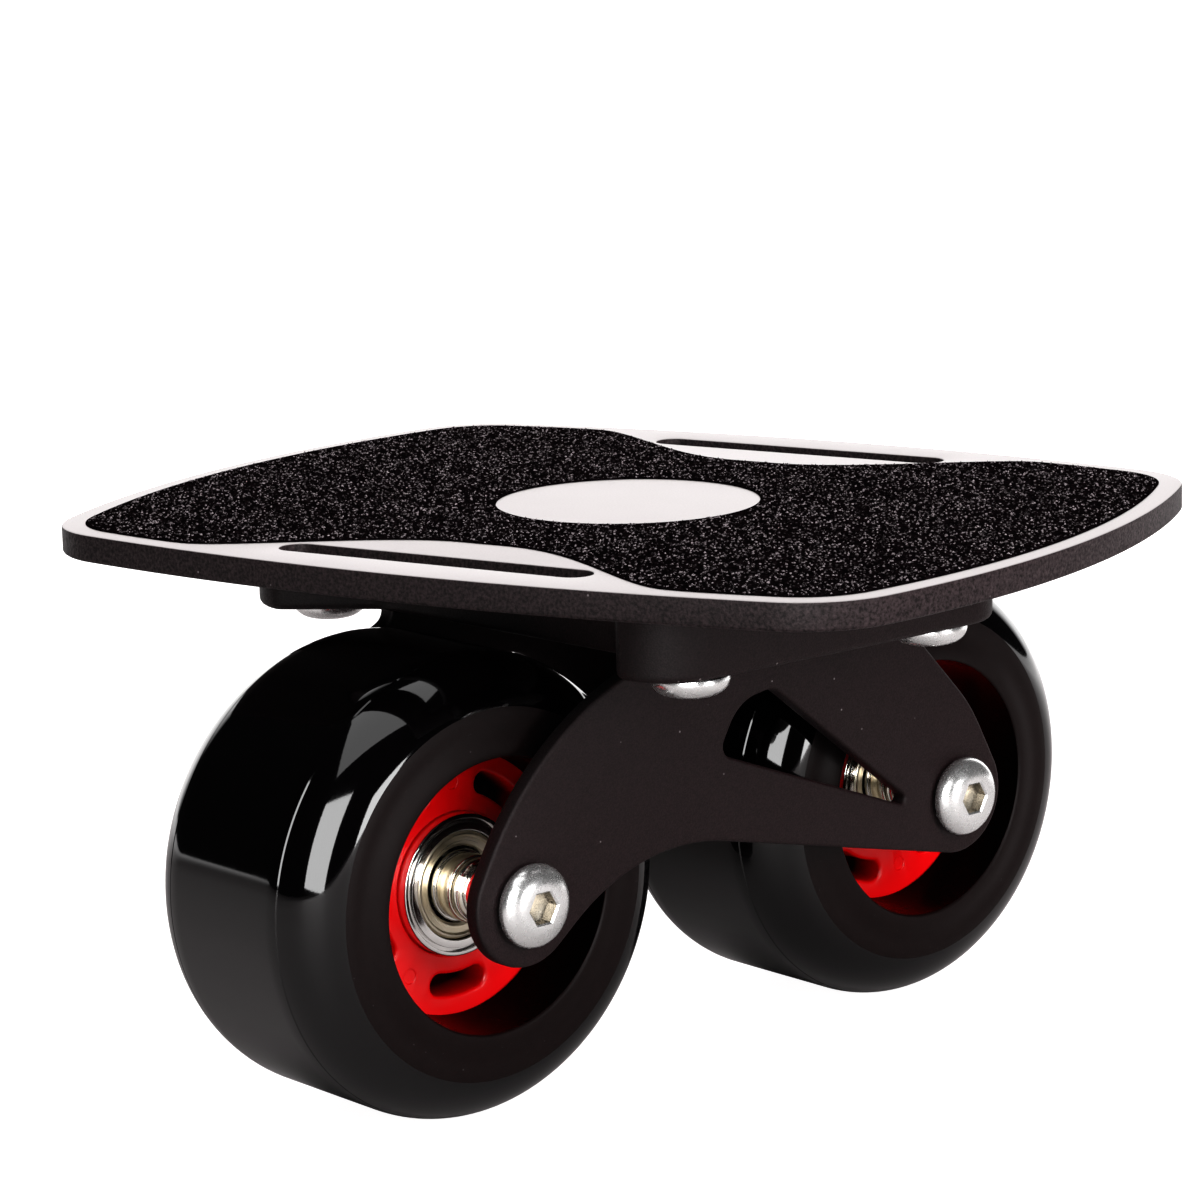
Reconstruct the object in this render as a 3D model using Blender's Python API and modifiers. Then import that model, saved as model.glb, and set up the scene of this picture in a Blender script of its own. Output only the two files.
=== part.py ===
"""One skate of a pair of split skateboards: a foot plate on a short truck with two wheels in line.

Units are metres. X is the way the skate rolls, Y runs along the axles and Z is up. The ground is
z = 0 and the origin lies under the middle of the wheelbase. The foot plate is turned a little
about Z against the wheels.
"""

from math import atan2, cos, hypot, pi, radians, sin, sqrt, tan

import bmesh
import bpy

# Clearances
SEAT_GAP = 0.0003        # between pieces that rest on or are bolted against each other
SHAFT_GAP = 0.00015      # radial, between a round shank and what is threaded onto it
TAPE_GAP = 0.0001        # the adhesive under the grip tape

# Wheels
WHEELBASE = 0.0920
TYRE_RADIUS = 0.0360
TYRE_WIDTH = 0.0413
TREAD_WIDTH = 0.0216     # the flat middle of the tyre
FACE_RADIUS = 0.0265     # where the round shoulder runs out into the side face
LIP_RADIUS = 0.0213      # mouth of the recess in the side face
HUB_FACE_RADIUS = 0.0202  # what shows of the hub at the bottom of the recess
HUB_WIDTH = 0.0212
HUB_RIM = 0.0024         # how far the hub's rim runs on under the urethane
HUB_EDGE = 0.0005        # chamfer round the hub's face
POCKET_COUNT = 5
POCKET_RING_RADIUS = 0.0153
POCKET_LENGTH = 0.0118
POCKET_WIDTH = 0.0042
POCKET_DEPTH = 0.0050
POCKET_START_LEFT = radians(18.0)   # where a pocket stands at rest, from the level, downwards
POCKET_START_RIGHT = radians(41.5)

# Ball bearings, 8 x 22 x 7
BEARING_OUTER_RADIUS = 0.0110
BEARING_BORE_RADIUS = 0.0040
BEARING_WIDTH = 0.0070
BEARING_PROUD = 0.0009   # how far it stands out of the hub's face
BALL_COUNT = 7
BALL_RADIUS = 0.0019845
BALL_RING_RADIUS = 0.0075
BALL_CLEARANCE = 0.00025
INNER_LAND_RADIUS = 0.0060
OUTER_LAND_RADIUS = 0.0092
SHIELD_SEAT_RADIUS = 0.0098
SHIELD_SEAT_DEPTH = 0.0008
SHIELD_THICKNESS = 0.00035
CAGE_THICKNESS = 0.0009
CAGE_WIDTH = 0.0022

# What is threaded onto each axle bolt
SLEEVE_RADIUS = 0.0056   # between the two inner races
COLLAR_RADIUS = 0.0055   # narrow ring against the inner race
COLLAR_WIDTH = 0.0025
SPACER_RADIUS = 0.0052   # polished tube from the collar to the side plate
AXLE_RADIUS = 0.0040
AXLE_HEAD_RADIUS = 0.0066
AXLE_HEAD_HEIGHT = 0.0041
AXLE_HEX_WIDTH = 0.0050  # across the flats of the key socket
AXLE_HEX_DEPTH = 0.0026
AXLE_END = 0.0020        # thread that shows past the nut
WASHER_RADIUS = 0.0080
WASHER_THICKNESS = 0.0016
NUT_WIDTH = 0.0130       # across the flats
NUT_HEIGHT = 0.0065
NUT_COLLAR_RADIUS = 0.0056
NUT_COLLAR_HEIGHT = 0.0015

# Side plates of the truck
SIDE_CLEARANCE = 0.0040  # from the tyre's side face to the plate
CHEEK_THICKNESS = 0.0030
CHEEK_LOBE_RADIUS = 0.0097
CHEEK_SHOULDER_RADIUS = 0.0570
CHEEK_SHOULDER_ANGLE = radians(62)    # slope of the upper edge where it leaves the lobe
CHEEK_TOP_ANGLE = radians(20)         # slope of the upper edge under the flange
CHEEK_TOP_DROP = 0.0030               # straight upright at the end of the upper edge
CHEEK_TOP_INSET = 0.0010              # from the flange's waist to that upright
ARCH_RADIUS = 0.0230                  # under the plate, beside the first wheel
ARCH_ANGLE = radians(38)              # slope of the edge from the first lobe up to the arch
SILL_ANGLE = radians(-12.9)           # slope of the long lower edge down to the second lobe
WINDOW_TIP = (0.0371, -0.0008)        # corners of the window, from the level of the axles
WINDOW_HEEL = (-0.0078, 0.0162)
WINDOW_CROWN_BACK = (-0.0034, 0.0240)
WINDOW_CROWN_FRONT = (0.0041, 0.0252)
WINDOW_TIP_RADIUS = 0.0008
WINDOW_HEEL_RADIUS = 0.0015
WINDOW_CROWN_BACK_RADIUS = 0.0080
WINDOW_CROWN_FRONT_RADIUS = 0.0018

# Flange under the foot plate
FLANGE_RISE = 0.0346     # from the axles to its underside
FLANGE_THICKNESS = 0.0121
FLANGE_LENGTH = 0.0752   # along X
FLANGE_WIDTH = 0.1016    # along Y
FLANGE_CORNER = 0.0118
FLANGE_EDGE = 0.0010
NOTCH_CLEARANCE_X = 0.0103  # from the tyre to the waist
NOTCH_CLEARANCE_Y = 0.0072  # from the tyre's side to the end of the waist
EAR_SLANT = 0.0125       # how far along Y the ear's inner side slants out from the waist
EAR_CORNER = 0.0035
NOTCH_CORNER = 0.0050
SCREW_INSET_X = 0.0106   # from the flange's ends to its screws
SCREW_INSET_Y = 0.0078
SCREW_RADIUS = 0.0030
SCREW_HEAD_RADIUS = 0.00575
SCREW_HEAD_HEIGHT = 0.0026
SCREW_HEX_WIDTH = 0.0040
SCREW_HEX_DEPTH = 0.0014
SCREW_TIP_DEPTH = 0.0004  # from its tip to the plate's upper face

# Foot plate
PLATE_TURN = radians(16.66)
PLATE_THICKNESS = 0.0043
PLATE_LENGTH = 0.1597    # along its own long axis
PLATE_WIDTH = 0.1328
PLATE_SIDE_CROWN = 0.0100
PLATE_END_CROWN = 0.0130
PLATE_CORNER = 0.0165
SLOT_OFFSET = 0.0547     # from the plate's middle line
SLOT_LENGTH = 0.0546
SLOT_WIDTH = 0.0059
TAPE_THICKNESS = 0.0004
TAPE_MARGIN = 0.0031
TAPE_CORNER = 0.0134
TAPE_WAIST = 0.0820      # its width across the middle
TAPE_FLARE_START = 0.0040  # where the waist begins to widen, from the middle
TAPE_FLARE_END = 0.0520
TAPE_FLARE_BLEND = 0.0020  # how softly the flare runs into the plate's margin
DISC_RADIUS = 0.0209     # bare metal in the middle of the tape

# How finely round things are cut
WHEEL_STEPS = 38
BEARING_STEPS = 16
SHAFT_STEPS = 14
ARC_STEP = radians(16)

# Screws and cutters
HEAD_FLAT_SHARE = 0.45   # flat top of a round head, of its radius
HEAD_RIM_SHARE = 0.18    # upright rim of a round head, of its height
JOIN_DEPTH = 0.0010      # how far a piece that is joined on reaches into the other
CUT_OVERRUN = 0.0010     # how far a cutter reaches past the face that it opens

# Heights and offsets that follow from the sizes above
AXLE_HEIGHT = TYRE_RADIUS
HALF_TYRE = TYRE_WIDTH / 2
HALF_HUB = HUB_WIDTH / 2
CHEEK_INNER = HALF_TYRE + SIDE_CLEARANCE
CHEEK_MIDDLE = CHEEK_INNER + CHEEK_THICKNESS / 2
CHEEK_OUTER = CHEEK_INNER + CHEEK_THICKNESS
FLANGE_BOTTOM = AXLE_HEIGHT + FLANGE_RISE
FLANGE_TOP = FLANGE_BOTTOM + FLANGE_THICKNESS
PLATE_BOTTOM = FLANGE_TOP + SEAT_GAP
PLATE_TOP = PLATE_BOTTOM + PLATE_THICKNESS
SCREW_X = FLANGE_LENGTH / 2 - SCREW_INSET_X
SCREW_Y = FLANGE_WIDTH / 2 - SCREW_INSET_Y
BEARING_OUTSIDE = HALF_HUB + BEARING_PROUD
BEARING_MIDDLE = BEARING_OUTSIDE - BEARING_WIDTH / 2
BEARING_INSIDE = BEARING_OUTSIDE - BEARING_WIDTH
SHAFT_BORE = AXLE_RADIUS + SHAFT_GAP

# The tyre reaches above the flange's underside, so the flange is cut back round it
WHEEL_CHORD = sqrt(max(0.0, TYRE_RADIUS**2 - FLANGE_RISE**2))
WAIST = WHEELBASE / 2 - WHEEL_CHORD - NOTCH_CLEARANCE_X
NOTCH_Y = HALF_TYRE + NOTCH_CLEARANCE_Y


def clear_scene():
    for obj in list(bpy.data.objects):
        bpy.data.objects.remove(obj, do_unlink=True)


def new_collection(name, helper=False):
    collection = bpy.data.collections.new(name)
    bpy.context.scene.collection.children.link(collection)
    collection.hide_render = helper
    return collection


def new_material(name, colour, roughness, metallic=0.0):
    material = bpy.data.materials.new(name)
    material.use_nodes = True
    shader = material.node_tree.nodes["Principled BSDF"]
    shader.inputs["Base Color"].default_value = (*colour, 1.0)
    shader.inputs["Roughness"].default_value = roughness
    shader.inputs["Metallic"].default_value = metallic
    material.diffuse_color = (*colour, 1.0)
    return material


def new_empty(name, location=(0.0, 0.0, 0.0), rotation=(0.0, 0.0, 0.0), parent=None):
    empty = bpy.data.objects.new(name, None)
    empty.location = location
    empty.rotation_euler = rotation
    empty.parent = parent
    PARTS.objects.link(empty)
    return empty


def place(obj, material, parent=None, location=(0.0, 0.0, 0.0), rotation=(0.0, 0.0, 0.0)):
    """Links a finished object among the parts, at its place under its parent."""
    obj.data.materials.clear()
    obj.data.materials.append(material)
    obj.parent = parent
    obj.location = location
    obj.rotation_euler = rotation
    PARTS.objects.link(obj)
    return obj


def as_cutter(obj, parent=None, location=(0.0, 0.0, 0.0), rotation=(0.0, 0.0, 0.0)):
    obj.parent = parent
    obj.location = location
    obj.rotation_euler = rotation
    obj.hide_render = True
    obj.display_type = "WIRE"
    CUTTERS.objects.link(obj)
    return obj


def add_boolean(obj, other, operation="DIFFERENCE"):
    boolean = obj.modifiers.new(operation.title(), "BOOLEAN")
    boolean.operation = operation
    boolean.solver = "EXACT"
    boolean.object = other


def add_bevel(obj, width, segments=1):
    bevel = obj.modifiers.new("Edge", "BEVEL")
    bevel.width = width
    bevel.segments = segments
    bevel.limit_method = "ANGLE"
    bevel.angle_limit = radians(50)


def turned(name, profile, steps, closed=True):
    """A turned piece about its own Z. The profile holds (radius, z) and runs down its outer side."""
    mesh = bpy.data.meshes.new(name)
    count = len(profile)
    edges = [(i, i + 1) for i in range(count - 1)]
    if closed:
        edges.append((count - 1, 0))
    mesh.from_pydata([(radius, 0.0, z) for radius, z in profile], edges, [])
    obj = bpy.data.objects.new(name, mesh)
    screw = obj.modifiers.new("Turn", "SCREW")
    screw.axis = "Z"
    screw.angle = 2 * pi
    screw.steps = steps
    screw.render_steps = steps
    screw.use_merge_vertices = True
    screw.merge_threshold = 0.00001
    screw.use_smooth_shade = True
    return obj


def ring(name, inner, outer, low, high, steps):
    """A plain turned ring."""
    return turned(name, [(outer, high), (outer, low), (inner, low), (inner, high)], steps)


def rod(name, radius, low, high):
    """A plain turned rod, used to drill holes and to join on."""
    profile = [(0.0, high), (radius, high), (radius, low), (0.0, low)]
    return turned(name, profile, SHAFT_STEPS, closed=False)


def arc(centre, radius, start, end, count):
    """Points on an arc, both ends included."""
    angles = [start + (end - start) * i / count for i in range(count + 1)]
    return [(centre[0] + radius * cos(a), centre[1] + radius * sin(a)) for a in angles]


def steps_for(angle):
    return max(1, round(abs(angle) / ARC_STEP))


def rounded(corners):
    """An outline through corners (x, y, radius), each rounded by a tangent arc.

    Where two arcs would meet on an edge, both are drawn back in proportion.
    """
    count = len(corners)
    sides = []
    for i, (x, y, radius) in enumerate(corners):
        after = corners[(i + 1) % count]
        length = hypot(after[0] - x, after[1] - y)
        sides.append(((after[0] - x) / length, (after[1] - y) / length, length))
    half_turns = []
    reaches = []
    for i, (x, y, radius) in enumerate(corners):
        before = sides[i - 1]
        ahead = sides[i]
        cross = before[0] * ahead[1] - before[1] * ahead[0]
        dot = before[0] * ahead[0] + before[1] * ahead[1]
        half_turns.append(atan2(cross, dot) / 2)
        reaches.append(radius * abs(tan(half_turns[-1])))
    points = []
    for i, (x, y, radius) in enumerate(corners):
        if radius <= 0:
            points.append((x, y))
            continue
        before = sides[i - 1]
        ahead = sides[i]
        room_before = before[2] / max(before[2], reaches[i - 1] + reaches[i])
        room_ahead = ahead[2] / max(ahead[2], reaches[i] + reaches[(i + 1) % count])
        share = min(room_before, room_ahead)
        reach = reaches[i] * share
        bend = radius * share * (1 if half_turns[i] > 0 else -1)
        start = (x - before[0] * reach, y - before[1] * reach)
        centre = (start[0] - before[1] * bend, start[1] + before[0] * bend)
        first = atan2(start[1] - centre[1], start[0] - centre[0])
        sweep = 2 * half_turns[i]
        points += arc(centre, abs(bend), first, first + sweep, steps_for(sweep))
    return points


def mirrored_quarter(quarter):
    """A closed outline from its quarter, which runs from the X axis to the Y axis."""
    half = quarter + [(-x, y) for x, y in reversed(quarter[:-1])]
    return half + [(x, -y) for x, y in reversed(half[1:-1])]


def crowned_quarter(width, length, side_crown, end_crown, corner):
    """A quarter of a rectangle whose sides bow outwards and whose corners are round."""
    half_width = width / 2
    half_length = length / 2
    side_radius = (half_length**2 + side_crown**2) / (2 * side_crown)
    end_radius = (half_width**2 + end_crown**2) / (2 * end_crown)
    side_centre = (half_width - side_radius, 0.0)
    end_centre = (0.0, half_length - end_radius)
    # The corner's centre lies a corner radius inside both arcs
    a = side_radius - corner
    b = end_radius - corner
    across = (end_centre[0] - side_centre[0], end_centre[1] - side_centre[1])
    distance = hypot(*across)
    along = (distance**2 + a**2 - b**2) / (2 * distance)
    off = sqrt(a**2 - along**2)
    unit = (across[0] / distance, across[1] / distance)
    corner_centre = (
        side_centre[0] + unit[0] * along - unit[1] * -off,
        side_centre[1] + unit[1] * along + unit[0] * -off,
    )
    if corner_centre[0] + corner_centre[1] < 0:
        corner_centre = (
            side_centre[0] + unit[0] * along - unit[1] * off,
            side_centre[1] + unit[1] * along + unit[0] * off,
        )
    side_end = atan2(corner_centre[1] - side_centre[1], corner_centre[0] - side_centre[0])
    end_start = atan2(corner_centre[1] - end_centre[1], corner_centre[0] - end_centre[0])
    side = arc(side_centre, side_radius, 0.0, side_end, 9)
    round_corner = arc(corner_centre, corner, side_end, end_start, 5)
    end = arc(end_centre, end_radius, end_start, pi / 2, 5)
    return side + round_corner[1:] + end[1:]


def slot_outline(centre, length, width):
    """A slot along Y with round ends."""
    x, y = centre
    radius = width / 2
    straight = length / 2 - radius
    top = arc((x, y + straight), radius, 0.0, pi, 8)
    bottom = arc((x, y - straight), radius, pi, 2 * pi, 8)
    return top + bottom


def circle(centre, radius, steps):
    return arc(centre, radius, 0.0, 2 * pi * (steps - 1) / steps, steps - 1)


def flat_plate(name, outlines, thickness):
    """A flat plate on z = 0. The first outline is its edge, and the others are holes through it."""
    curve = bpy.data.curves.new(name, "CURVE")
    curve.dimensions = "2D"
    curve.fill_mode = "BOTH"
    curve.extrude = thickness / 2
    for outline in outlines:
        spline = curve.splines.new("POLY")
        spline.points.add(len(outline) - 1)
        for point, (x, y) in zip(spline.points, outline):
            point.co = (x, y, 0.0, 1.0)
        spline.use_cyclic_u = True
    guide = bpy.data.objects.new(name + "_outline", curve)
    bpy.context.scene.collection.objects.link(guide)
    graph = bpy.context.evaluated_depsgraph_get()
    mesh = bpy.data.meshes.new_from_object(guide.evaluated_get(graph))
    mesh.name = name
    shape = bmesh.new()
    shape.from_mesh(mesh)
    bmesh.ops.remove_doubles(shape, verts=shape.verts, dist=0.000001)
    bmesh.ops.recalc_face_normals(shape, faces=shape.faces)
    shape.to_mesh(mesh)
    shape.free()
    obj = bpy.data.objects.new(name, mesh)
    obj.matrix_world = guide.matrix_world
    bpy.data.objects.remove(guide, do_unlink=True)
    bpy.data.curves.remove(curve)
    return obj


def hex_prism(name, across_flats, low, high):
    """A hexagonal prism about Z."""
    mesh = bpy.data.meshes.new(name)
    shape = bmesh.new()
    corner_radius = across_flats / 2 / cos(pi / 6)
    bmesh.ops.create_cone(
        shape,
        cap_ends=True,
        segments=6,
        radius1=corner_radius,
        radius2=corner_radius,
        depth=high - low,
    )
    bmesh.ops.translate(shape, verts=shape.verts, vec=(0.0, 0.0, (high + low) / 2))
    shape.to_mesh(mesh)
    shape.free()
    return bpy.data.objects.new(name, mesh)


def tyre_profile():
    """Outer side from the upper edge down, then back up the bore that grips the hub."""
    half_tread = TREAD_WIDTH / 2
    # The turned piece is many-sided, so its flats and not its edges lie at the tyre's radius
    tread = TYRE_RADIUS / cos(pi / WHEEL_STEPS)
    shoulder = [
        (
            FACE_RADIUS + (tread - FACE_RADIUS) * cos(angle),
            half_tread + (HALF_TYRE - half_tread) * sin(angle),
        )
        for angle in (pi / 2 * i / 4 for i in range(4, -1, -1))
    ]
    rim = HUB_FACE_RADIUS + HUB_RIM + SEAT_GAP
    face = HALF_HUB + SEAT_GAP
    bore = [
        (rim, face),
        (HUB_FACE_RADIUS, face),
        (LIP_RADIUS, HALF_TYRE),
    ]
    outer = shoulder + [(radius, -z) for radius, z in reversed(shoulder)]
    return outer + [(radius, -z) for radius, z in reversed(bore)] + bore


def hub_profile():
    """The red hub: a rim under the urethane, a flat face on each side and two bearing seats."""
    rim = HUB_FACE_RADIUS + HUB_RIM
    seat = BEARING_OUTER_RADIUS + SEAT_GAP
    stop = (OUTER_LAND_RADIUS + BEARING_OUTER_RADIUS) / 2
    shelf = BEARING_INSIDE - SEAT_GAP
    half = [(seat + HUB_EDGE, HALF_HUB), (rim, HALF_HUB)]
    inside = [(stop, shelf), (seat, shelf), (seat, HALF_HUB - HUB_EDGE)]
    outer = half + [(radius, -z) for radius, z in reversed(half)]
    return outer + [(radius, -z) for radius, z in reversed(inside)] + inside


def pocket_outline():
    """A kidney-shaped pocket about the X axis of the hub's face, bent along its ring."""
    half_width = POCKET_WIDTH / 2
    half_sweep = (POCKET_LENGTH / 2 - half_width) / POCKET_RING_RADIUS
    outer = arc((0, 0), POCKET_RING_RADIUS + half_width, -half_sweep, half_sweep, 3)
    inner = arc((0, 0), POCKET_RING_RADIUS - half_width, half_sweep, -half_sweep, 2)
    ends = []
    for sweep, start in ((half_sweep, half_sweep), (-half_sweep, pi - half_sweep)):
        centre = (POCKET_RING_RADIUS * cos(sweep), POCKET_RING_RADIUS * sin(sweep))
        ends.append(arc(centre, half_width, start, start + pi, 3)[1:-1])
    return outer + ends[0] + inner + ends[1]


def pocket_cutter(name, start):
    """All pockets of both faces, as one mesh of separate prisms."""
    prism = flat_plate(name + "_one", [pocket_outline()], POCKET_DEPTH + HUB_EDGE)
    shape = bmesh.new()
    middle = HALF_HUB - POCKET_DEPTH / 2 + HUB_EDGE / 2
    for i in range(POCKET_COUNT):
        angle = start + 2 * pi * i / POCKET_COUNT
        for side in (-1, 1):
            before = len(shape.verts)
            shape.from_mesh(prism.data)
            shape.verts.ensure_lookup_table()
            added = shape.verts[before:]
            for vert in added:
                x, y, z = vert.co
                vert.co = (
                    x * cos(angle) - y * sin(angle),
                    x * sin(angle) + y * cos(angle),
                    z + side * middle,
                )
    mesh = bpy.data.meshes.new(name)
    shape.to_mesh(mesh)
    shape.free()
    bpy.data.objects.remove(prism, do_unlink=True)
    return bpy.data.objects.new(name, mesh)


def groove(land_radius, half_land, outward):
    """A ball groove across a race, from z = half_land down to -half_land."""
    reach = BALL_RADIUS + BALL_CLEARANCE
    edge = sqrt(max(0.0, reach**2 - (land_radius - BALL_RING_RADIUS) ** 2))
    bottom = BALL_RING_RADIUS + (reach if outward else -reach)
    return [
        (land_radius, half_land),
        (land_radius, edge),
        (bottom, 0.0),
        (land_radius, -edge),
        (land_radius, -half_land),
    ]


def outer_race_profile():
    half = BEARING_WIDTH / 2
    seat_floor = half - SHIELD_SEAT_DEPTH
    inside = groove(OUTER_LAND_RADIUS, seat_floor, True)
    return [
        (BEARING_OUTER_RADIUS, half),
        (BEARING_OUTER_RADIUS, -half),
        (SHIELD_SEAT_RADIUS, -half),
        (SHIELD_SEAT_RADIUS, -seat_floor),
        *reversed(inside),
        (SHIELD_SEAT_RADIUS, seat_floor),
        (SHIELD_SEAT_RADIUS, half),
    ]


def inner_race_profile():
    half = BEARING_WIDTH / 2
    bore = BEARING_BORE_RADIUS + SHAFT_GAP
    return [*groove(INNER_LAND_RADIUS, half, False), (bore, -half), (bore, half)]


def cage_with_balls(name):
    """The balls of one bearing, held by their ring, fused into one body."""
    half_thickness = CAGE_THICKNESS / 2
    cage = ring(
        name,
        BALL_RING_RADIUS - half_thickness,
        BALL_RING_RADIUS + half_thickness,
        -CAGE_WIDTH / 2,
        CAGE_WIDTH / 2,
        BALL_COUNT,
    )
    shape = bmesh.new()
    for i in range(BALL_COUNT):
        angle = 2 * pi * i / BALL_COUNT
        made = bmesh.ops.create_uvsphere(shape, u_segments=6, v_segments=4, radius=BALL_RADIUS)
        centre = (BALL_RING_RADIUS * cos(angle), BALL_RING_RADIUS * sin(angle), 0.0)
        bmesh.ops.translate(shape, verts=made["verts"], vec=centre)
    mesh = bpy.data.meshes.new(name + "_balls")
    shape.to_mesh(mesh)
    shape.free()
    return cage, bpy.data.objects.new(name + "_balls", mesh)


def shield(name):
    """A thin steel disc pressed into the outer race, clear of the inner one."""
    profile = [
        (SHIELD_SEAT_RADIUS - SEAT_GAP, 0.0),
        (INNER_LAND_RADIUS + SEAT_GAP, 0.0),
    ]
    disc = turned(name, profile, BEARING_STEPS, closed=False)
    sheet = disc.modifiers.new("Sheet", "SOLIDIFY")
    sheet.thickness = SHIELD_THICKNESS
    sheet.offset = 0.0
    return disc


def button_head(name, shank_radius, head_radius, head_height, length):
    """A round-headed screw about Z: its head's flat underside lies on z = 0 and its shank hangs down."""
    flat = HEAD_FLAT_SHARE * head_radius
    rim = HEAD_RIM_SHARE * head_height
    dome = [
        (
            flat + (head_radius - flat) * sin(angle),
            rim + (head_height - rim) * cos(angle),
        )
        for angle in (pi / 2 * i / 3 for i in range(4))
    ]
    shank = [(head_radius, 0.0), (shank_radius, 0.0), (shank_radius, -length), (0.0, -length)]
    return turned(name, [(0.0, head_height), *dome, *shank], SHAFT_STEPS, closed=False)


def build_bearing(prefix, parent, side):
    """One ball bearing. Its parent is the wheel's empty, whose Z runs along the axle."""
    middle = (0.0, 0.0, side * BEARING_MIDDLE)
    outer = turned(prefix + "_outer_race", outer_race_profile(), BEARING_STEPS)
    place(outer, MATERIALS["bearing_steel"], parent, middle)
    inner = turned(prefix + "_inner_race", inner_race_profile(), BEARING_STEPS)
    place(inner, MATERIALS["bearing_steel"], parent, middle)
    cage, balls = cage_with_balls(prefix + "_ball_cage")
    place(cage, MATERIALS["ball_steel"], parent, middle)
    as_cutter(balls, parent, middle)
    add_boolean(cage, balls, "UNION")
    reach = BEARING_WIDTH / 2 - SHIELD_SEAT_DEPTH / 2
    for face, sign in (("outside", side), ("inside", -side)):
        disc = shield(f"{prefix}_shield_{face}")
        location = (0.0, 0.0, side * BEARING_MIDDLE + sign * reach)
        place(disc, MATERIALS["shield_steel"], parent, location)


def build_axle(name, parent):
    """Bolt, washer and lock nut of one wheel, with the tubes that hold the bearings apart."""
    seat = CHEEK_OUTER + SEAT_GAP
    nut_seat = seat + WASHER_THICKNESS + SEAT_GAP
    nut_end = nut_seat + NUT_HEIGHT + NUT_COLLAR_HEIGHT
    bolt = button_head(
        name + "_axle_bolt",
        AXLE_RADIUS,
        AXLE_HEAD_RADIUS,
        AXLE_HEAD_HEIGHT,
        seat + nut_end + AXLE_END,
    )
    # The bolt is turned over, so that its head lies on the near side plate
    over = (pi, 0.0, 0.0)
    place(bolt, MATERIALS["bright_zinc"], parent, (0.0, 0.0, -seat), over)
    socket = hex_prism(
        name + "_axle_socket",
        AXLE_HEX_WIDTH,
        AXLE_HEAD_HEIGHT - AXLE_HEX_DEPTH,
        AXLE_HEAD_HEIGHT + CUT_OVERRUN,
    )
    as_cutter(socket, parent, (0.0, 0.0, -seat), over)
    add_boolean(bolt, socket)

    washer = ring(
        name + "_axle_washer", SHAFT_BORE, WASHER_RADIUS, seat, seat + WASHER_THICKNESS, SHAFT_STEPS
    )
    place(washer, MATERIALS["bright_zinc"], parent)

    nut = hex_prism(name + "_lock_nut", NUT_WIDTH, nut_seat, nut_seat + NUT_HEIGHT)
    place(nut, MATERIALS["bright_zinc"], parent)
    collar_low = nut_seat + NUT_HEIGHT - JOIN_DEPTH
    collar = as_cutter(rod(name + "_nut_collar", NUT_COLLAR_RADIUS, collar_low, nut_end), parent)
    add_boolean(nut, collar, "UNION")
    bore = rod(name + "_nut_bore", SHAFT_BORE, nut_seat - CUT_OVERRUN, nut_end + CUT_OVERRUN)
    as_cutter(bore, parent)
    add_boolean(nut, bore)

    half_sleeve = BEARING_INSIDE - SEAT_GAP
    sleeve = ring(name + "_bearing_sleeve", SHAFT_BORE, SLEEVE_RADIUS, -half_sleeve, half_sleeve, SHAFT_STEPS)
    place(sleeve, MATERIALS["spacer_steel"], parent)
    collar_start = BEARING_OUTSIDE + SEAT_GAP
    collar_end = collar_start + COLLAR_WIDTH
    for side_name, side in (("near", -1), ("far", 1)):
        washer_ring = ring(
            f"{name}_collar_{side_name}", SHAFT_BORE, COLLAR_RADIUS, 0.0, COLLAR_WIDTH, SHAFT_STEPS
        )
        low = collar_start if side > 0 else -collar_end
        place(washer_ring, MATERIALS["spacer_steel"], parent, (0.0, 0.0, low))
        spacer_start = collar_end + SEAT_GAP
        spacer_length = CHEEK_INNER - SEAT_GAP - spacer_start
        tube = ring(
            f"{name}_spacer_{side_name}", SHAFT_BORE, SPACER_RADIUS, 0.0, spacer_length, SHAFT_STEPS
        )
        low = spacer_start if side > 0 else -spacer_start - spacer_length
        place(tube, MATERIALS["spacer_steel"], parent, (0.0, 0.0, low))


def build_wheel(name, x, pocket_start):
    """One wheel on its axle. The empty stands on the axle, with its Z along Y."""
    axis = new_empty(name + "_axis", (x, 0.0, AXLE_HEIGHT), (-pi / 2, 0.0, 0.0))
    tyre = turned(name + "_tyre", tyre_profile(), WHEEL_STEPS)
    place(tyre, MATERIALS["black_urethane"], axis)
    hub = turned(name + "_hub", hub_profile(), WHEEL_STEPS)
    place(hub, MATERIALS["red_nylon"], axis)
    pockets = as_cutter(pocket_cutter(name + "_hub_pockets", pocket_start), axis)
    add_boolean(hub, pockets)
    build_bearing(name + "_near_bearing", axis, -1)
    build_bearing(name + "_far_bearing", axis, 1)
    build_axle(name, axis)


def lobe_corner(centre, radius, edge_in, edge_out):
    """The corner whose rounding is the lobe, between edges that run at these angles."""
    normal_in = (sin(edge_in), -cos(edge_in))
    normal_out = (sin(edge_out), -cos(edge_out))
    dot = normal_in[0] * normal_out[0] + normal_in[1] * normal_out[1]
    scale = radius / (1 + dot)
    return (
        centre[0] + scale * (normal_in[0] + normal_out[0]),
        centre[1] + scale * (normal_in[1] + normal_out[1]),
        radius,
    )


def crossing(point, angle, other, other_angle):
    """Where two lines meet, each given by a point and its slope."""
    ax, ay = cos(angle), sin(angle)
    bx, by = cos(other_angle), sin(other_angle)
    t = ((other[0] - point[0]) * by - (other[1] - point[1]) * bx) / (ax * by - ay * bx)
    return point[0] + ax * t, point[1] + ay * t


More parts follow.
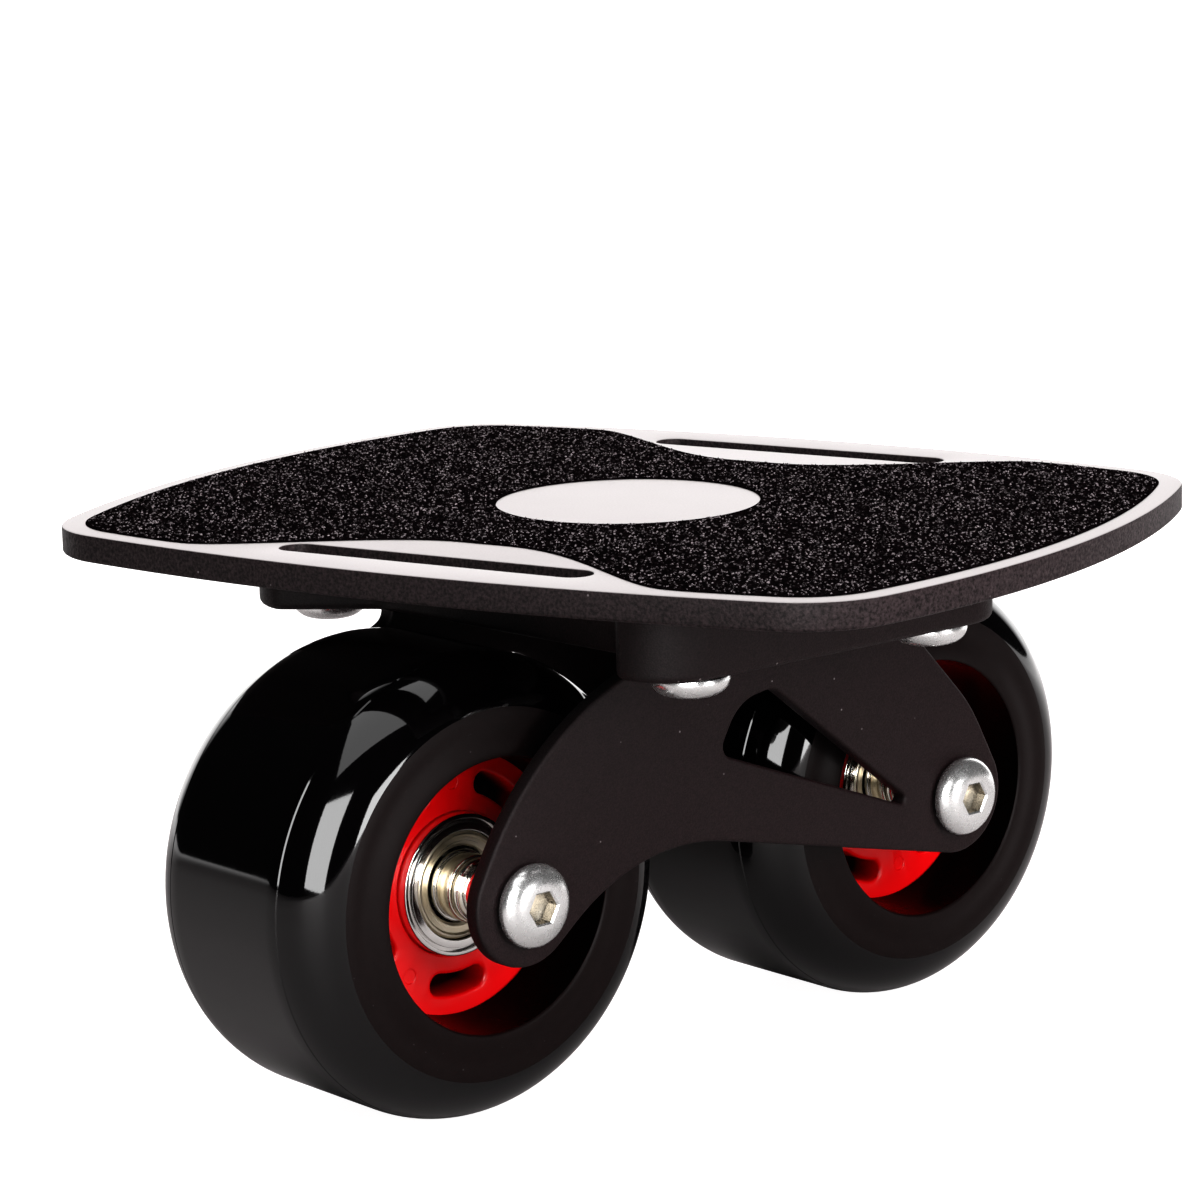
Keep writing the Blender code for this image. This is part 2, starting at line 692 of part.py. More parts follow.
def cheek_outline():
    """The side plate in (x, height over the axles), anticlockwise."""
    half_base = WHEELBASE / 2
    top = FLANGE_RISE - SEAT_GAP
    half_top = WAIST - CHEEK_TOP_INSET
    top_end = top - CHEEK_TOP_DROP
    up_right = pi - CHEEK_SHOULDER_ANGLE
    right = lobe_corner((half_base, 0.0), CHEEK_LOBE_RADIUS, SILL_ANGLE, up_right)
    left = lobe_corner((-half_base, 0.0), CHEEK_LOBE_RADIUS, pi + CHEEK_SHOULDER_ANGLE, ARCH_ANGLE)
    arch = crossing(left[:2], ARCH_ANGLE, right[:2], SILL_ANGLE)
    shoulder = crossing(right[:2], up_right, (half_top, top_end), pi - CHEEK_TOP_ANGLE)
    shoulder_left = crossing(
        left[:2], CHEEK_SHOULDER_ANGLE, (-half_top, top_end), CHEEK_TOP_ANGLE
    )
    return rounded(
        [
            right,
            (*shoulder, CHEEK_SHOULDER_RADIUS),
            (half_top, top_end, 0.0),
            (half_top, top, 0.0),
            (-half_top, top, 0.0),
            (-half_top, top_end, 0.0),
            (*shoulder_left, CHEEK_SHOULDER_RADIUS),
            left,
            (*arch, ARCH_RADIUS),
        ]
    )


def window_outline():
    return rounded(
        [
            (*WINDOW_HEEL, WINDOW_HEEL_RADIUS),
            (*WINDOW_TIP, WINDOW_TIP_RADIUS),
            (*WINDOW_CROWN_FRONT, WINDOW_CROWN_FRONT_RADIUS),
            (*WINDOW_CROWN_BACK, WINDOW_CROWN_BACK_RADIUS),
        ]
    )


def build_cheeks():
    """Two like side plates, the far one turned half round, so that each window lies beside its bolt."""
    hole = AXLE_RADIUS + SEAT_GAP
    holes = [circle((side * WHEELBASE / 2, 0.0), hole, SHAFT_STEPS) for side in (-1, 1)]
    for name, side, turn in (("near", -1, 0.0), ("far", 1, pi)):
        plate = flat_plate(
            f"side_plate_{name}", [cheek_outline(), window_outline(), *holes], CHEEK_THICKNESS
        )
        location = (0.0, side * CHEEK_MIDDLE, AXLE_HEIGHT)
        place(plate, MATERIALS["black_powder_coat"], None, location, (pi / 2, 0.0, turn))


def flange_outline():
    half_x = FLANGE_LENGTH / 2
    half_y = FLANGE_WIDTH / 2
    neck = (WAIST, NOTCH_Y, NOTCH_CORNER)
    ear = (half_x, NOTCH_Y + EAR_SLANT, EAR_CORNER)
    corners = [neck, ear, (half_x, half_y, FLANGE_CORNER)]
    left_top = [(-x, y, radius) for x, y, radius in reversed(corners)]
    left_bottom = [(-x, -y, radius) for x, y, radius in corners]
    right_bottom = [(x, -y, radius) for x, y, radius in reversed(corners)]
    return rounded(corners + left_top + left_bottom + right_bottom)


def build_flange():
    """The thick flange, waisted between its four ears so that the tyres clear it."""
    flange = flat_plate("truck_flange", [flange_outline()], FLANGE_THICKNESS)
    add_bevel(flange, FLANGE_EDGE)
    location = (0.0, 0.0, FLANGE_BOTTOM + FLANGE_THICKNESS / 2)
    place(flange, MATERIALS["black_powder_coat"], None, location)
    for i, (x, y) in enumerate(screw_places()):
        reach = FLANGE_THICKNESS
        drill = rod(f"flange_drill_{i + 1}", SCREW_RADIUS + SEAT_GAP, -reach, reach)
        as_cutter(drill, None, (x, y, location[2]))
        add_boolean(flange, drill)


def screw_places():
    return [(sx * SCREW_X, sy * SCREW_Y) for sx in (-1, 1) for sy in (-1, 1)]


def build_screws():
    """Four screws that hold the plate, put in from below."""
    seat = FLANGE_BOTTOM - SEAT_GAP
    length = PLATE_TOP - SCREW_TIP_DEPTH - seat
    over = (pi, 0.0, 0.0)
    for i, (x, y) in enumerate(screw_places()):
        name = f"plate_screw_{i + 1}"
        screw = button_head(name, SCREW_RADIUS, SCREW_HEAD_RADIUS, SCREW_HEAD_HEIGHT, length)
        place(screw, MATERIALS["bright_zinc"], None, (x, y, seat), over)
        floor = SCREW_HEAD_HEIGHT - SCREW_HEX_DEPTH
        socket = hex_prism(
            name + "_socket", SCREW_HEX_WIDTH, floor, SCREW_HEAD_HEIGHT + CUT_OVERRUN
        )
        as_cutter(socket, None, (x, y, seat), over)
        add_boolean(screw, socket)


def plate_axes(x, y):
    """A point of the truck in the turned plate's own axes."""
    return (
        x * cos(PLATE_TURN) + y * sin(PLATE_TURN),
        -x * sin(PLATE_TURN) + y * cos(PLATE_TURN),
    )


def build_foot_plate():
    """The bowed plate with its two slots, and the waisted sheet of grip tape on it."""
    turn = new_empty("foot_plate_turn", (0.0, 0.0, 0.0), (0.0, 0.0, PLATE_TURN))
    edge = mirrored_quarter(
        crowned_quarter(PLATE_WIDTH, PLATE_LENGTH, PLATE_SIDE_CROWN, PLATE_END_CROWN, PLATE_CORNER)
    )
    slots = [slot_outline((side * SLOT_OFFSET, 0.0), SLOT_LENGTH, SLOT_WIDTH) for side in (-1, 1)]
    holes = [
        circle(plate_axes(x, y), SCREW_RADIUS + SEAT_GAP, SHAFT_STEPS) for x, y in screw_places()
    ]
    plate = flat_plate("foot_plate", [edge, *slots, *holes], PLATE_THICKNESS)
    place(plate, MATERIALS["satin_aluminium"], turn, (0.0, 0.0, PLATE_BOTTOM + PLATE_THICKNESS / 2))

    inner = crowned_quarter(
        PLATE_WIDTH - 2 * TAPE_MARGIN,
        PLATE_LENGTH - 2 * TAPE_MARGIN,
        PLATE_SIDE_CROWN,
        PLATE_END_CROWN,
        TAPE_CORNER,
    )
    waisted = []
    for x, y in inner:
        share = min(1.0, max(0.0, (y - TAPE_FLARE_START) / (TAPE_FLARE_END - TAPE_FLARE_START)))
        share = share * share * (3 - 2 * share)
        limit = TAPE_WAIST / 2 + (PLATE_WIDTH / 2 - TAPE_MARGIN - TAPE_WAIST / 2) * share
        # A soft choice of the lesser, so that the flare has no corner
        waisted.append(((x + limit - hypot(x - limit, TAPE_FLARE_BLEND)) / 2, y))
    tape = flat_plate(
        "grip_tape", [mirrored_quarter(waisted), circle((0.0, 0.0), DISC_RADIUS, 32)], TAPE_THICKNESS
    )
    height = PLATE_TOP + TAPE_GAP + TAPE_THICKNESS / 2
    place(tape, MATERIALS["black_grit"], turn, (0.0, 0.0, height))


clear_scene()
PARTS = new_collection("split_skateboard")
CUTTERS = new_collection("cutters", helper=True)
MATERIALS = {
    "black_urethane": new_material("black_urethane", (0.012, 0.011, 0.012), 0.12),
    "red_nylon": new_material("red_nylon", (0.72, 0.006, 0.008), 0.30),
    "bearing_steel": new_material("bearing_steel", (0.80, 0.79, 0.77), 0.14, 1.0),
    "ball_steel": new_material("ball_steel", (0.70, 0.70, 0.70), 0.10, 1.0),
    "shield_steel": new_material("shield_steel", (0.52, 0.48, 0.40), 0.32, 1.0),
    "spacer_steel": new_material("spacer_steel", (0.72, 0.70, 0.66), 0.16, 1.0),
    "bright_zinc": new_material("bright_zinc", (0.86, 0.86, 0.87), 0.18, 1.0),
    "black_powder_coat": new_material("black_powder_coat", (0.022, 0.017, 0.018), 0.55),
    "satin_aluminium": new_material("satin_aluminium", (0.78, 0.74, 0.74), 0.35, 0.6),
    "black_grit": new_material("black_grit", (0.015, 0.012, 0.013), 0.80),
}
build_foot_plate()
build_flange()
build_screws()
build_cheeks()
build_wheel("left", -WHEELBASE / 2, POCKET_START_LEFT)
build_wheel("right", WHEELBASE / 2, POCKET_START_RIGHT)
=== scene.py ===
from functools import partial
from math import asin, atan2, ceil, cos, hypot, pi, radians, sin, sqrt, tan

import bmesh
import bpy
from mathutils import Matrix, Vector


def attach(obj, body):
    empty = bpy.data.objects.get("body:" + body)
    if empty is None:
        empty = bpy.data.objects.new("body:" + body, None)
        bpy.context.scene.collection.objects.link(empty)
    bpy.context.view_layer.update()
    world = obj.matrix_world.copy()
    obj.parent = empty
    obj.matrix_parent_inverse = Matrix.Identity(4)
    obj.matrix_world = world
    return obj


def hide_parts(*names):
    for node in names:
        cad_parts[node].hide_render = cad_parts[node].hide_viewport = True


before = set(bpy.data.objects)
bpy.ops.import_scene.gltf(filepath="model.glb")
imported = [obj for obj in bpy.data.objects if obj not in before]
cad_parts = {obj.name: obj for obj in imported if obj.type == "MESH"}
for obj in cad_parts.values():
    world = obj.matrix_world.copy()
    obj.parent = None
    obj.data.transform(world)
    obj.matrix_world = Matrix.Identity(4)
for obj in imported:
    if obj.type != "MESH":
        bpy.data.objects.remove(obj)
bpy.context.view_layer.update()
print("frame loaded:", len(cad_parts), "nodes")
scene = bpy.context.scene

# Sizes in the dictionaries are in millimetres, and mm turns them to metres
mm = 0.001
axleHeight = 36.0
wheelPlaces = {"left": -46.0, "right": 46.0}
sides = {"near": -1, "far": 1}


def addObject(name, data):
    obj = bpy.data.objects.new(name, data)
    scene.collection.objects.link(obj)
    return obj


# Camera at the photograph's viewing angle, worked out from the wheels' ellipses
camera = {
    "azimuth": 41.15,
    "elevation": 11.25,
    "roll": -1.33,
    "distance": 0.6436,
    "target": (-0.00635, 0.0, 0.07235),
    "focalPixels": 4082.05,
    "imageWidth": 1200,
    "sensorWidth": 36.0,
}


def addCamera(spec):
    a, e, roll = (radians(spec[key]) for key in ("azimuth", "elevation", "roll"))
    forward = Vector((sin(a) * cos(e), cos(a) * cos(e), -sin(e)))
    level = Vector((cos(a), -sin(a), 0.0))
    upright = level.cross(forward)
    across = level * cos(roll) + upright * sin(roll)
    up = upright * cos(roll) - level * sin(roll)
    data = bpy.data.cameras.new("camera")
    data.sensor_width = spec["sensorWidth"]
    data.lens = spec["focalPixels"] / spec["imageWidth"] * spec["sensorWidth"]
    data.clip_start, data.clip_end = 0.01, 50.0
    matrix = Matrix((across, up, -forward)).transposed().to_4x4()
    matrix.translation = Vector(spec["target"]) - forward * spec["distance"]
    scene.camera = addObject("camera", data)
    scene.camera.matrix_world = matrix


addCamera(camera)
print("camera placed")


def linear(hexColour):
    # sRGB as written, to linear red, green, blue and alpha
    channels = [int(hexColour[i : i + 2], 16) / 255 for i in (1, 3, 5)]
    return (*[c / 12.92 if c <= 0.04045 else ((c + 0.055) / 1.055) ** 2.4 for c in channels], 1.0)


def addNode(tree, kind, inputs=(), output=None, **settings):
    # kind may leave off ShaderNode; inputs go by name or in order, each a value or the socket that feeds it
    node = tree.nodes.new(kind if "Node" in kind else "ShaderNode" + kind)
    for key, value in settings.items():
        setattr(node, key, value)
    for key, value in inputs.items() if isinstance(inputs, dict) else enumerate(inputs):
        if isinstance(value, bpy.types.NodeSocket):
            tree.links.new(value, node.inputs[key])
        else:
            node.inputs[key].default_value = value
    return node if output is None else node.outputs[output]


def newMaterial(name, constants):
    material = bpy.data.materials.new(name)
    material.use_nodes = True
    for key, value in constants.items():
        material.node_tree.nodes["Principled BSDF"].inputs[key].default_value = value
    add = partial(addNode, material.node_tree)
    return material, add, add("TexCoord", output="Object")


def patches(add, place, size, detail=2.0, roughness=0.5, spread=None):
    # Noise of a real size in millimetres, as so many to the metre; spread takes a part of its range,
    # (low, high), to another
    inputs = {"Vector": place, "Scale": 1000.0 / size, "Detail": detail, "Roughness": roughness}
    noise = add("TexNoise", inputs, "Fac")
    return add("MapRange", (noise, *spread), 0) if spread else noise


def finished(material, layers, roughness=None, relief=None, glow=None):
    # layers: the first colour, then each share with the colour that it mixes in
    tree, colour = material.node_tree, linear(layers[0])
    for share, hexColour in layers[1:]:
        shades = {0: share, 6: colour, 7: linear(hexColour)}
        colour = addNode(tree, "Mix", shades, 2, data_type="RGBA")
    sockets = {"Base Color": colour, "Roughness": roughness, "Emission Strength": glow}
    if relief:
        height, strength, depth = relief  # what the bump reads, its strength, its depth in millimetres
        inputs = {"Height": height, "Strength": strength, "Distance": depth * mm}
        sockets["Normal"] = addNode(tree, "Bump", inputs, "Normal")
    for key, socket in sockets.items():
        if socket:
            tree.links.new(socket, tree.nodes["Principled BSDF"].inputs[key])
    return material


def castUrethane(name, dark, light, smooth, rough, shine, relief, dusty):
    # Cast polyurethane, black: mirror gloss off the polished mould, satin where the face is trimmed
    material, add, place = newMaterial(name, {"IOR": 1.5, "Specular IOR Level": shine})
    dust = patches(add, place, 0.55, 2.0, 0.4, (0.76, 0.80, 0.0, dusty))
    layers = dark, (patches(add, place, 1.4, 3.0), light), (dust, "#5a5456")
    roughness = patches(add, place, 9.0, 3.0, 0.5, (0.3, 0.7, smooth, rough))
    return finished(material, layers, roughness, (patches(add, place, 0.35), relief, 0.05))


def redNylon(name):
    # Moulded nylon core, red: semi-gloss, a little light passes into it, and its pockets carry painted shade:
    # the red darkens with depth below the faces
    constants = {
        "IOR": 1.53,
        "Specular IOR Level": 0.3,
        "Subsurface Weight": 0.03,
        "Subsurface Radius": (0.6 * mm, 0.1 * mm, 0.1 * mm),
        "Subsurface Scale": 1.0,
    }
    material, add, place = newMaterial(name, constants)
    across = add("SeparateXYZ", (place,), "Y")
    out = add("Math", (across,), 0, operation="ABSOLUTE")
    # Painted shade: towards the middle of the hub, below its faces, the red turns dark, so that the pockets
    # read shaded
    deep = add("MapRange", (out, 4.5 * mm, 9.6 * mm, 1.0, 0.0), 0)
    layers = "#f4040b", (patches(add, place, 5.0, 3.0), "#fd070f"), (deep, "#2a0103")
    return finished(material, layers, patches(add, place, 4.0, spread=(0.3, 0.7, 0.30, 0.33)))


def turnedMetal(name, light, dark, smooth, rough, ringSize, depth):
    # Turned or ground metal: fine rings about the axle catch the light
    material, add, place = newMaterial(name, {"Metallic": 1.0})
    # Every turned piece carries "turning": radius, place along the axle and arc, in metres
    turning = add("Attribute", (), "Vector", attribute_name="turning")
    around = add("VectorMath", (turning, (1.0, 1.0, 0.01)), 0, operation="MULTIPLY")
    rings = patches(add, around, ringSize, 3.0, 0.6)
    roughness = add("MapRange", (rings, 0.3, 0.7, smooth, rough), 0)
    layers = dark, (patches(add, place, 2.5, 3.0), light)
    return finished(material, layers, roughness, (rings, 0.35, depth))


def zincPlate(name, dark, light):
    # Bright zinc plate: nearly white metal with a faint mottle from the bath
    material, add, place = newMaterial(name, {"Metallic": 0.9})
    mottle = patches(add, place, 1.1, 4.0, 0.65)
    roughness = add("MapRange", (mottle, 0.25, 0.75, 0.32, 0.20), 0)
    return finished(material, (dark, (mottle, light)), roughness, (patches(add, place, 0.6), 0.06, 0.03))


def powderCoat(name, base, lighter, grainSize, shine):
    # Fine-textured powder coat, near black with a brown cast: tiny pits swallow most of the gloss,
    # and a grain of dust shows here and there, drawn coarser than real dust so that it can be seen
    material, add, place = newMaterial(name, {"IOR": 1.5, "Specular IOR Level": shine})
    grain = patches(add, place, grainSize, 3.0, 0.6)
    pits = add("MapRange", (grain, 0.35, 0.75, 0.0, 1.0), 0)
    cells = add("TexVoronoi", {"Vector": place, "Scale": 1000.0 / 1.5}).outputs
    inCell = add("MapRange", (cells["Distance"], 0.07, 0.13, 1.0, 0.0), 0)
    pick = add("SeparateColor", (cells["Color"],), 0)
    chosen = add("MapRange", (pick, 0.95, 0.99, 0.0, 1.0), 0)
    specks = add("Math", (inCell, chosen), 0, operation="MULTIPLY")
    roughness = add("MapRange", (grain, 0.3, 0.7, 0.66, 0.52), 0)
    layers = base, (pits, lighter), (specks, "#8d8385")
    return finished(material, layers, roughness, (grain, 0.55, 0.12))


def satinAluminium(name):
    # Blasted and clear-anodised aluminium: even, pale, faintly pink under this light
    material, add, place = newMaterial(name, {"Metallic": 0.75})
    grain = patches(add, place, 0.3)
    roughness = add("MapRange", (grain, 0.3, 0.7, 0.42, 0.52), 0)
    layers = "#9a9494", (patches(add, place, 14.0, 3.0), "#a29c9c")
    return finished(material, layers, roughness, (grain, 0.12, 0.03))


def abrasive(name, dark, light, smooth):
    # Silicon carbide grit in black resin, with no specular gloss: most grains are dull, and the light colour
    # in some is a painted glint, for a bright facet.
    # The grains are drawn coarser than real grit, so that they show in the render
    material, add, place = newMaterial(name, {"IOR": 1.6, "Specular IOR Level": 0.0})
    cells = add("TexVoronoi", {"Vector": place, "Scale": 1000.0 / 0.42}, "Color")
    pick = add("SeparateColor", (cells,)).outputs
    # Painted glint: a few cells take the light colour in place of a reflection
    facet = add("MapRange", (pick[0], 0.15, 1.0, 0.0, 1.0), 0)
    bright = add("Math", (facet, 3.2), 0, operation="POWER")
    roughness = add("MapRange", (pick[1], 0.0, 1.0, smooth, smooth + 0.4), 0)
    return finished(material, (dark, (bright, light)), roughness, (patches(add, place, 0.4, 3.0), 0.8, 0.3))


# Polyurethane: dark, light, roughness from and to, specular level, relief, dust. Turned metals: light,
# dark, roughness from and to, ring width and ring depth. Coats: dark, light, grain width, specular level
finishes = {
    "urethane": castUrethane("glossPolyurethane", "#030203", "#040304", 0.035, 0.075, 0.5, 0.02, 0.0),
    "urethaneSatin": castUrethane("satinPolyurethane", "#0e0606", "#140a0a", 0.42, 0.50, 0.15, 0.25, 0.35),
    "urethaneRecess": castUrethane("recessPolyurethane", "#030202", "#050303", 0.24, 0.30, 0.015, 0.10, 0.0),
    "nylon": redNylon("mouldedNylonRed"),
    "race": turnedMetal("groundBearingSteel", "#f4f2f0", "#d6d3d0", 0.08, 0.18, 0.10, 0.010),
    "shield": turnedMetal("pressedShieldSteel", "#ddd3bf", "#c3b8a0", 0.26, 0.36, 0.16, 0.02),
    "polished": turnedMetal("polishedSpacerSteel", "#f3efe6", "#e6e1d6", 0.04, 0.07, 0.12, 0.0005),
    "turned": turnedMetal("turnedSteel", "#efe8da", "#d3cbb9", 0.12, 0.24, 0.12, 0.015),
    "ball": turnedMetal("polishedBallSteel", "#e8e8e8", "#cfcfcf", 0.06, 0.12, 0.30, 0.005),
    "zinc": zincPlate("brightZincPlate", "#ebebeb", "#f8f8f7"),
    # The key socket's darker, beige zinc is painted shade for the recess
    "keySocket": zincPlate("thinZincInKeySocket", "#a19b90", "#bdb7ac"),
    "coat": powderCoat("fineTexturePowderCoat", "#160c0d", "#251719", 0.28, 0.22),
    "deckCoat": powderCoat("sandTexturePowderCoat", "#150f10", "#44383a", 0.5, 0.18),
    "aluminium": satinAluminium("blastedAluminium"),
    # The light colours of the grit are painted glints
    "gritSheet": abrasive("gritBedResin", "#070506", "#1c1517", 0.5),
    "gritGrain": abrasive("siliconCarbideGrit", "#140f10", "#b3a8ac", 0.3),
}
print("finishes made:", len(finishes))


def arcPoints(centre, radius, start, end, count):
    turns = [start + (end - start) * i / count for i in range(count + 1)]
    return [(centre[0] + radius * cos(a), centre[1] + radius * sin(a)) for a in turns]


def quarterTurn(count, first=0):
    return [pi / 2 * i / count for i in range(first, count + 1)]


def rounded(corners, step=radians(5)):
    # An outline through (x, y, radius): each corner gets a tangent arc, drawn back where two would meet
    count = len(corners)
    lengths, directions = [], []
    for i, (x, y, _) in enumerate(corners):
        after = corners[(i + 1) % count]
        lengths.append(hypot(after[0] - x, after[1] - y))
        directions.append(((after[0] - x) / lengths[-1], (after[1] - y) / lengths[-1]))
    halfTurns, reaches = [], []
    for i, (_, _, radius) in enumerate(corners):
        before, ahead = directions[i - 1], directions[i]
        cross = before[0] * ahead[1] - before[1] * ahead[0]
        halfTurns.append(atan2(cross, before[0] * ahead[0] + before[1] * ahead[1]) / 2)
        reaches.append(radius * abs(tan(halfTurns[-1])))
    points = []
    for i, (x, y, radius) in enumerate(corners):
        if radius <= 0:
            points.append((x, y))
            continue
        before = directions[i - 1]
        roomBefore = lengths[i - 1] / max(lengths[i - 1], reaches[i - 1] + reaches[i])
        roomAhead = lengths[i] / max(lengths[i], reaches[i] + reaches[(i + 1) % count])
        share = min(roomBefore, roomAhead)
        reach = reaches[i] * share
        bend = radius * share * (1 if halfTurns[i] > 0 else -1)
        start = (x - before[0] * reach, y - before[1] * reach)
        centre = (start[0] - before[1] * bend, start[1] + before[0] * bend)
        first = atan2(start[1] - centre[1], start[0] - centre[0])
        sweep = 2 * halfTurns[i]
        points += arcPoints(centre, abs(bend), first, first + sweep, max(2, ceil(abs(sweep) / step)))
    pairs = zip(points, points[-1:] + points[:-1])
    return [point for point, last in pairs if hypot(point[0] - last[0], point[1] - last[1]) > 1e-4]


def finishPiece(mesh, name, body, materials, nodes, sharp=radians(35)):
    # body: what the piece moves with; nodes: what it stands for in the CAD; sharp: the angle of a hard edge
    mesh.name = name
    for material in materials:
        mesh.materials.append(finishes[material])
    for polygon in mesh.polygons:
        polygon.use_smooth = True
    mesh.set_sharp_from_angle(angle=sharp)
    obj = addObject(name, mesh)
    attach(obj, body)
    if nodes:
        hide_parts(*nodes)
    return obj


def meshFrom(shape):
    bmesh.ops.recalc_face_normals(shape, faces=shape.faces)
    mesh = bpy.data.meshes.new("mesh")
    shape.to_mesh(mesh)
    shape.free()
    return mesh


def aboutAxle(x, height=axleHeight):
    return lambda radius, y, angle: Vector((x + radius * cos(angle), y, height + radius * sin(angle))) * mm


def aboutUpright(radius, z, angle):
    return Vector((radius * cos(angle), radius * sin(angle), z))


def spunMesh(profile, steps, toFrame, closed=True, bend=None):
    # Spins (radius, along), and stores "turning" on its points; bend gives a radius that varies
    shape = bmesh.new()
    turning = shape.verts.layers.float_vector.new("turning")
    rows = []
    for radius, along in profile:
        row = []
        for k in range(steps if radius else 1):
            angle = 2 * pi * k / steps
            reach = bend(radius, along, angle) if bend and radius else radius
            vert = shape.verts.new(toFrame(reach, along, angle))
            vert[turning] = Vector((radius, along, angle * radius)) * mm
            row.append(vert)
        rows.append(row)
    for one, two in zip(rows, rows[1:] + (rows[:1] if closed else [])):
        for k in range(steps):
            a, b = one[k % len(one)], one[(k + 1) % len(one)]
            c, d = two[(k + 1) % len(two)], two[k % len(two)]
            corners = [v for i, v in enumerate((a, b, c, d)) if v not in (a, b, c, d)[:i]]
            if len(corners) > 2:
                shape.faces.new(corners)
    return meshFrom(shape)


def insetNormals(outline):
    # The way into the material at each point, long enough to keep an even inset round a bend
    found = []
    for i, (x, y) in enumerate(outline):
        before, after = outline[i - 1], outline[(i + 1) % len(outline)]
        ax, ay = x - before[0], y - before[1]
        bx, by = after[0] - x, after[1] - y
        la, lb = hypot(ax, ay), hypot(bx, by)
        nx, ny = -ay / la - by / lb, ax / la + bx / lb
        size = hypot(nx, ny)
        found.append((nx / size * 2 / size, ny / size * 2 / size))
    return found


def slabMesh(outlines, levels, toFrame, paint=None):
    # outlines: the edge anticlockwise, then holes clockwise. levels: (inset, height), one end to the other
    shape = bmesh.new()
    caps = ([], [])
    for outline in outlines:
        points = list(zip(outline, insetNormals(outline)))
        rings = [
            [shape.verts.new(toFrame(x + nx * inset, y + ny * inset, height)) for (x, y), (nx, ny) in points]
            for inset, height in levels
        ]
        count = len(outline)
        for level, (low, high) in enumerate(zip(rings, rings[1:])):
            for i in range(count):
                face = shape.faces.new((low[i], low[(i + 1) % count], high[(i + 1) % count], high[i]))
                face.material_index = paint(level) if paint else 0
        for cap, ring in zip(caps, (rings[0], rings[-1])):
            cap += [shape.edges.get((ring[i], ring[(i + 1) % count])) for i in range(count)]
    for end, edges in enumerate(caps):
        made = bmesh.ops.triangle_fill(shape, use_beauty=True, use_dissolve=False, edges=edges)
        for item in made["geom"]:
            if isinstance(item, bmesh.types.BMFace):
                item.material_index = paint(-1 if end == 0 else len(levels) - 1) if paint else 0
    return meshFrom(shape)


def edgeLevels(low, high, lowEdge, highEdge, count=4):
    # Rounded edges at both ends of a slab
    below = [(lowEdge * (1 - sin(a)), low + lowEdge * (1 - cos(a))) for a in quarterTurn(count)]
    above = [(highEdge * (1 - cos(a)), high - highEdge * (1 - sin(a))) for a in quarterTurn(count)]
    return below + above


# Foot plate: silver top, and the textured coat on its edge, its slots and its underside
footPlate = {
    "width": 132.8,
    "length": 159.7,
    "sideCrown": 10.0,
    "endCrown": 13.0,
    "corner": 16.5,
    "turn": 16.66,
    "bottom": 83.0,
    "top": 87.3,
    "topEdge": 0.30,
    "bottomEdge": 0.6,
    "slotOffset": 54.7,
    "slotLength": 54.6,
    "slotWidth": 5.9,
}


def crownedQuarter(spec, margin=0.0, corner=None, fine=1.5):
    # From the X axis to the Y axis: a bowed side, a round corner and a bowed end
    halfWidth, halfLength = spec["width"] / 2 - margin, spec["length"] / 2 - margin
    corner = corner or spec["corner"]
    sideRadius = (halfLength**2 + spec["sideCrown"] ** 2) / (2 * spec["sideCrown"])
    endRadius = (halfWidth**2 + spec["endCrown"] ** 2) / (2 * spec["endCrown"])
    sideCentre = Vector((halfWidth - sideRadius, 0.0))
    endCentre = Vector((0.0, halfLength - endRadius))
    reachSide, reachEnd = sideRadius - corner, endRadius - corner
    span = endCentre - sideCentre
    along = (span.length_squared + reachSide**2 - reachEnd**2) / (2 * span.length)
    off = sqrt(reachSide**2 - along**2)
    unit = span.normalized()
    cornerCentre = sideCentre + unit * along - Vector((unit.y, -unit.x)) * off
    toSide, toEnd = cornerCentre - sideCentre, cornerCentre - endCentre
    sideEnd, endStart = atan2(toSide.y, toSide.x), atan2(toEnd.y, toEnd.x)
    parts = (
        (sideCentre, sideRadius, 0.0, sideEnd),
        (cornerCentre, corner, sideEnd, endStart),
        (endCentre, endRadius, endStart, pi / 2),
    )
    quarter = [(halfWidth, 0.0)]
    for centre, radius, start, end in parts:
        quarter += arcPoints(centre, radius, start, end, max(4, round(radius * abs(end - start) / fine)))[1:]
    return quarter


def mirrored(quarter):
    half = quarter + [(-x, y) for x, y in reversed(quarter[:-1])]
    return half + [(x, -y) for x, y in reversed(half[1:-1])]


def slotOutline(x, length, width):
    straight = (length - width) / 2
    top = arcPoints((x, straight), width / 2, 0.0, pi, 14)
    bottom = arcPoints((x, -straight), width / 2, pi, 2 * pi, 14)
    return (top + bottom)[::-1]  # clockwise, as a hole


def onTurnedPlate(u, v, z):
    turn = radians(footPlate["turn"])
    return Vector((u * cos(turn) - v * sin(turn), u * sin(turn) + v * cos(turn), z)) * mm


def buildFootPlate(spec):
    size = spec["slotLength"], spec["slotWidth"]
    slots = [slotOutline(side * spec["slotOffset"], *size) for side in (-1, 1)]
    levels = edgeLevels(spec["bottom"], spec["top"], spec["bottomEdge"], spec["topEdge"])
    outlines = [mirrored(crownedQuarter(spec)), *slots]
    # The bare metal reaches over the first part of the rounded top edge
    mesh = slabMesh(outlines, levels, onTurnedPlate, lambda level: int(level < len(levels) - 3))
    finishPiece(mesh, "footPlate", "truck", ["aluminium", "deckCoat"], ["foot_plate"])


buildFootPlate(footPlate)
print("foot plate built")


# Grip tape: a waisted sheet with a round hole, and the grains that stand on it
gripTape = {
    "bottom": 87.32,
    "top": 87.5,
    "edge": 0.1,
    "bottomEdge": 0.02,
    "margin": 3.1,
    "corner": 13.4,
    "waist": 82.0,
    "flareStart": 4.0,
    "flareEnd": 52.0,
    "flareBlend": 2.0,
    "discRadius": 20.9,
    "grainsPerSquareMetre": 1.5e6,
    "grainSmall": 0.28,
    "grainLarge": 0.58,
    "grainInset": 0.35,
    "seed": 7,
}


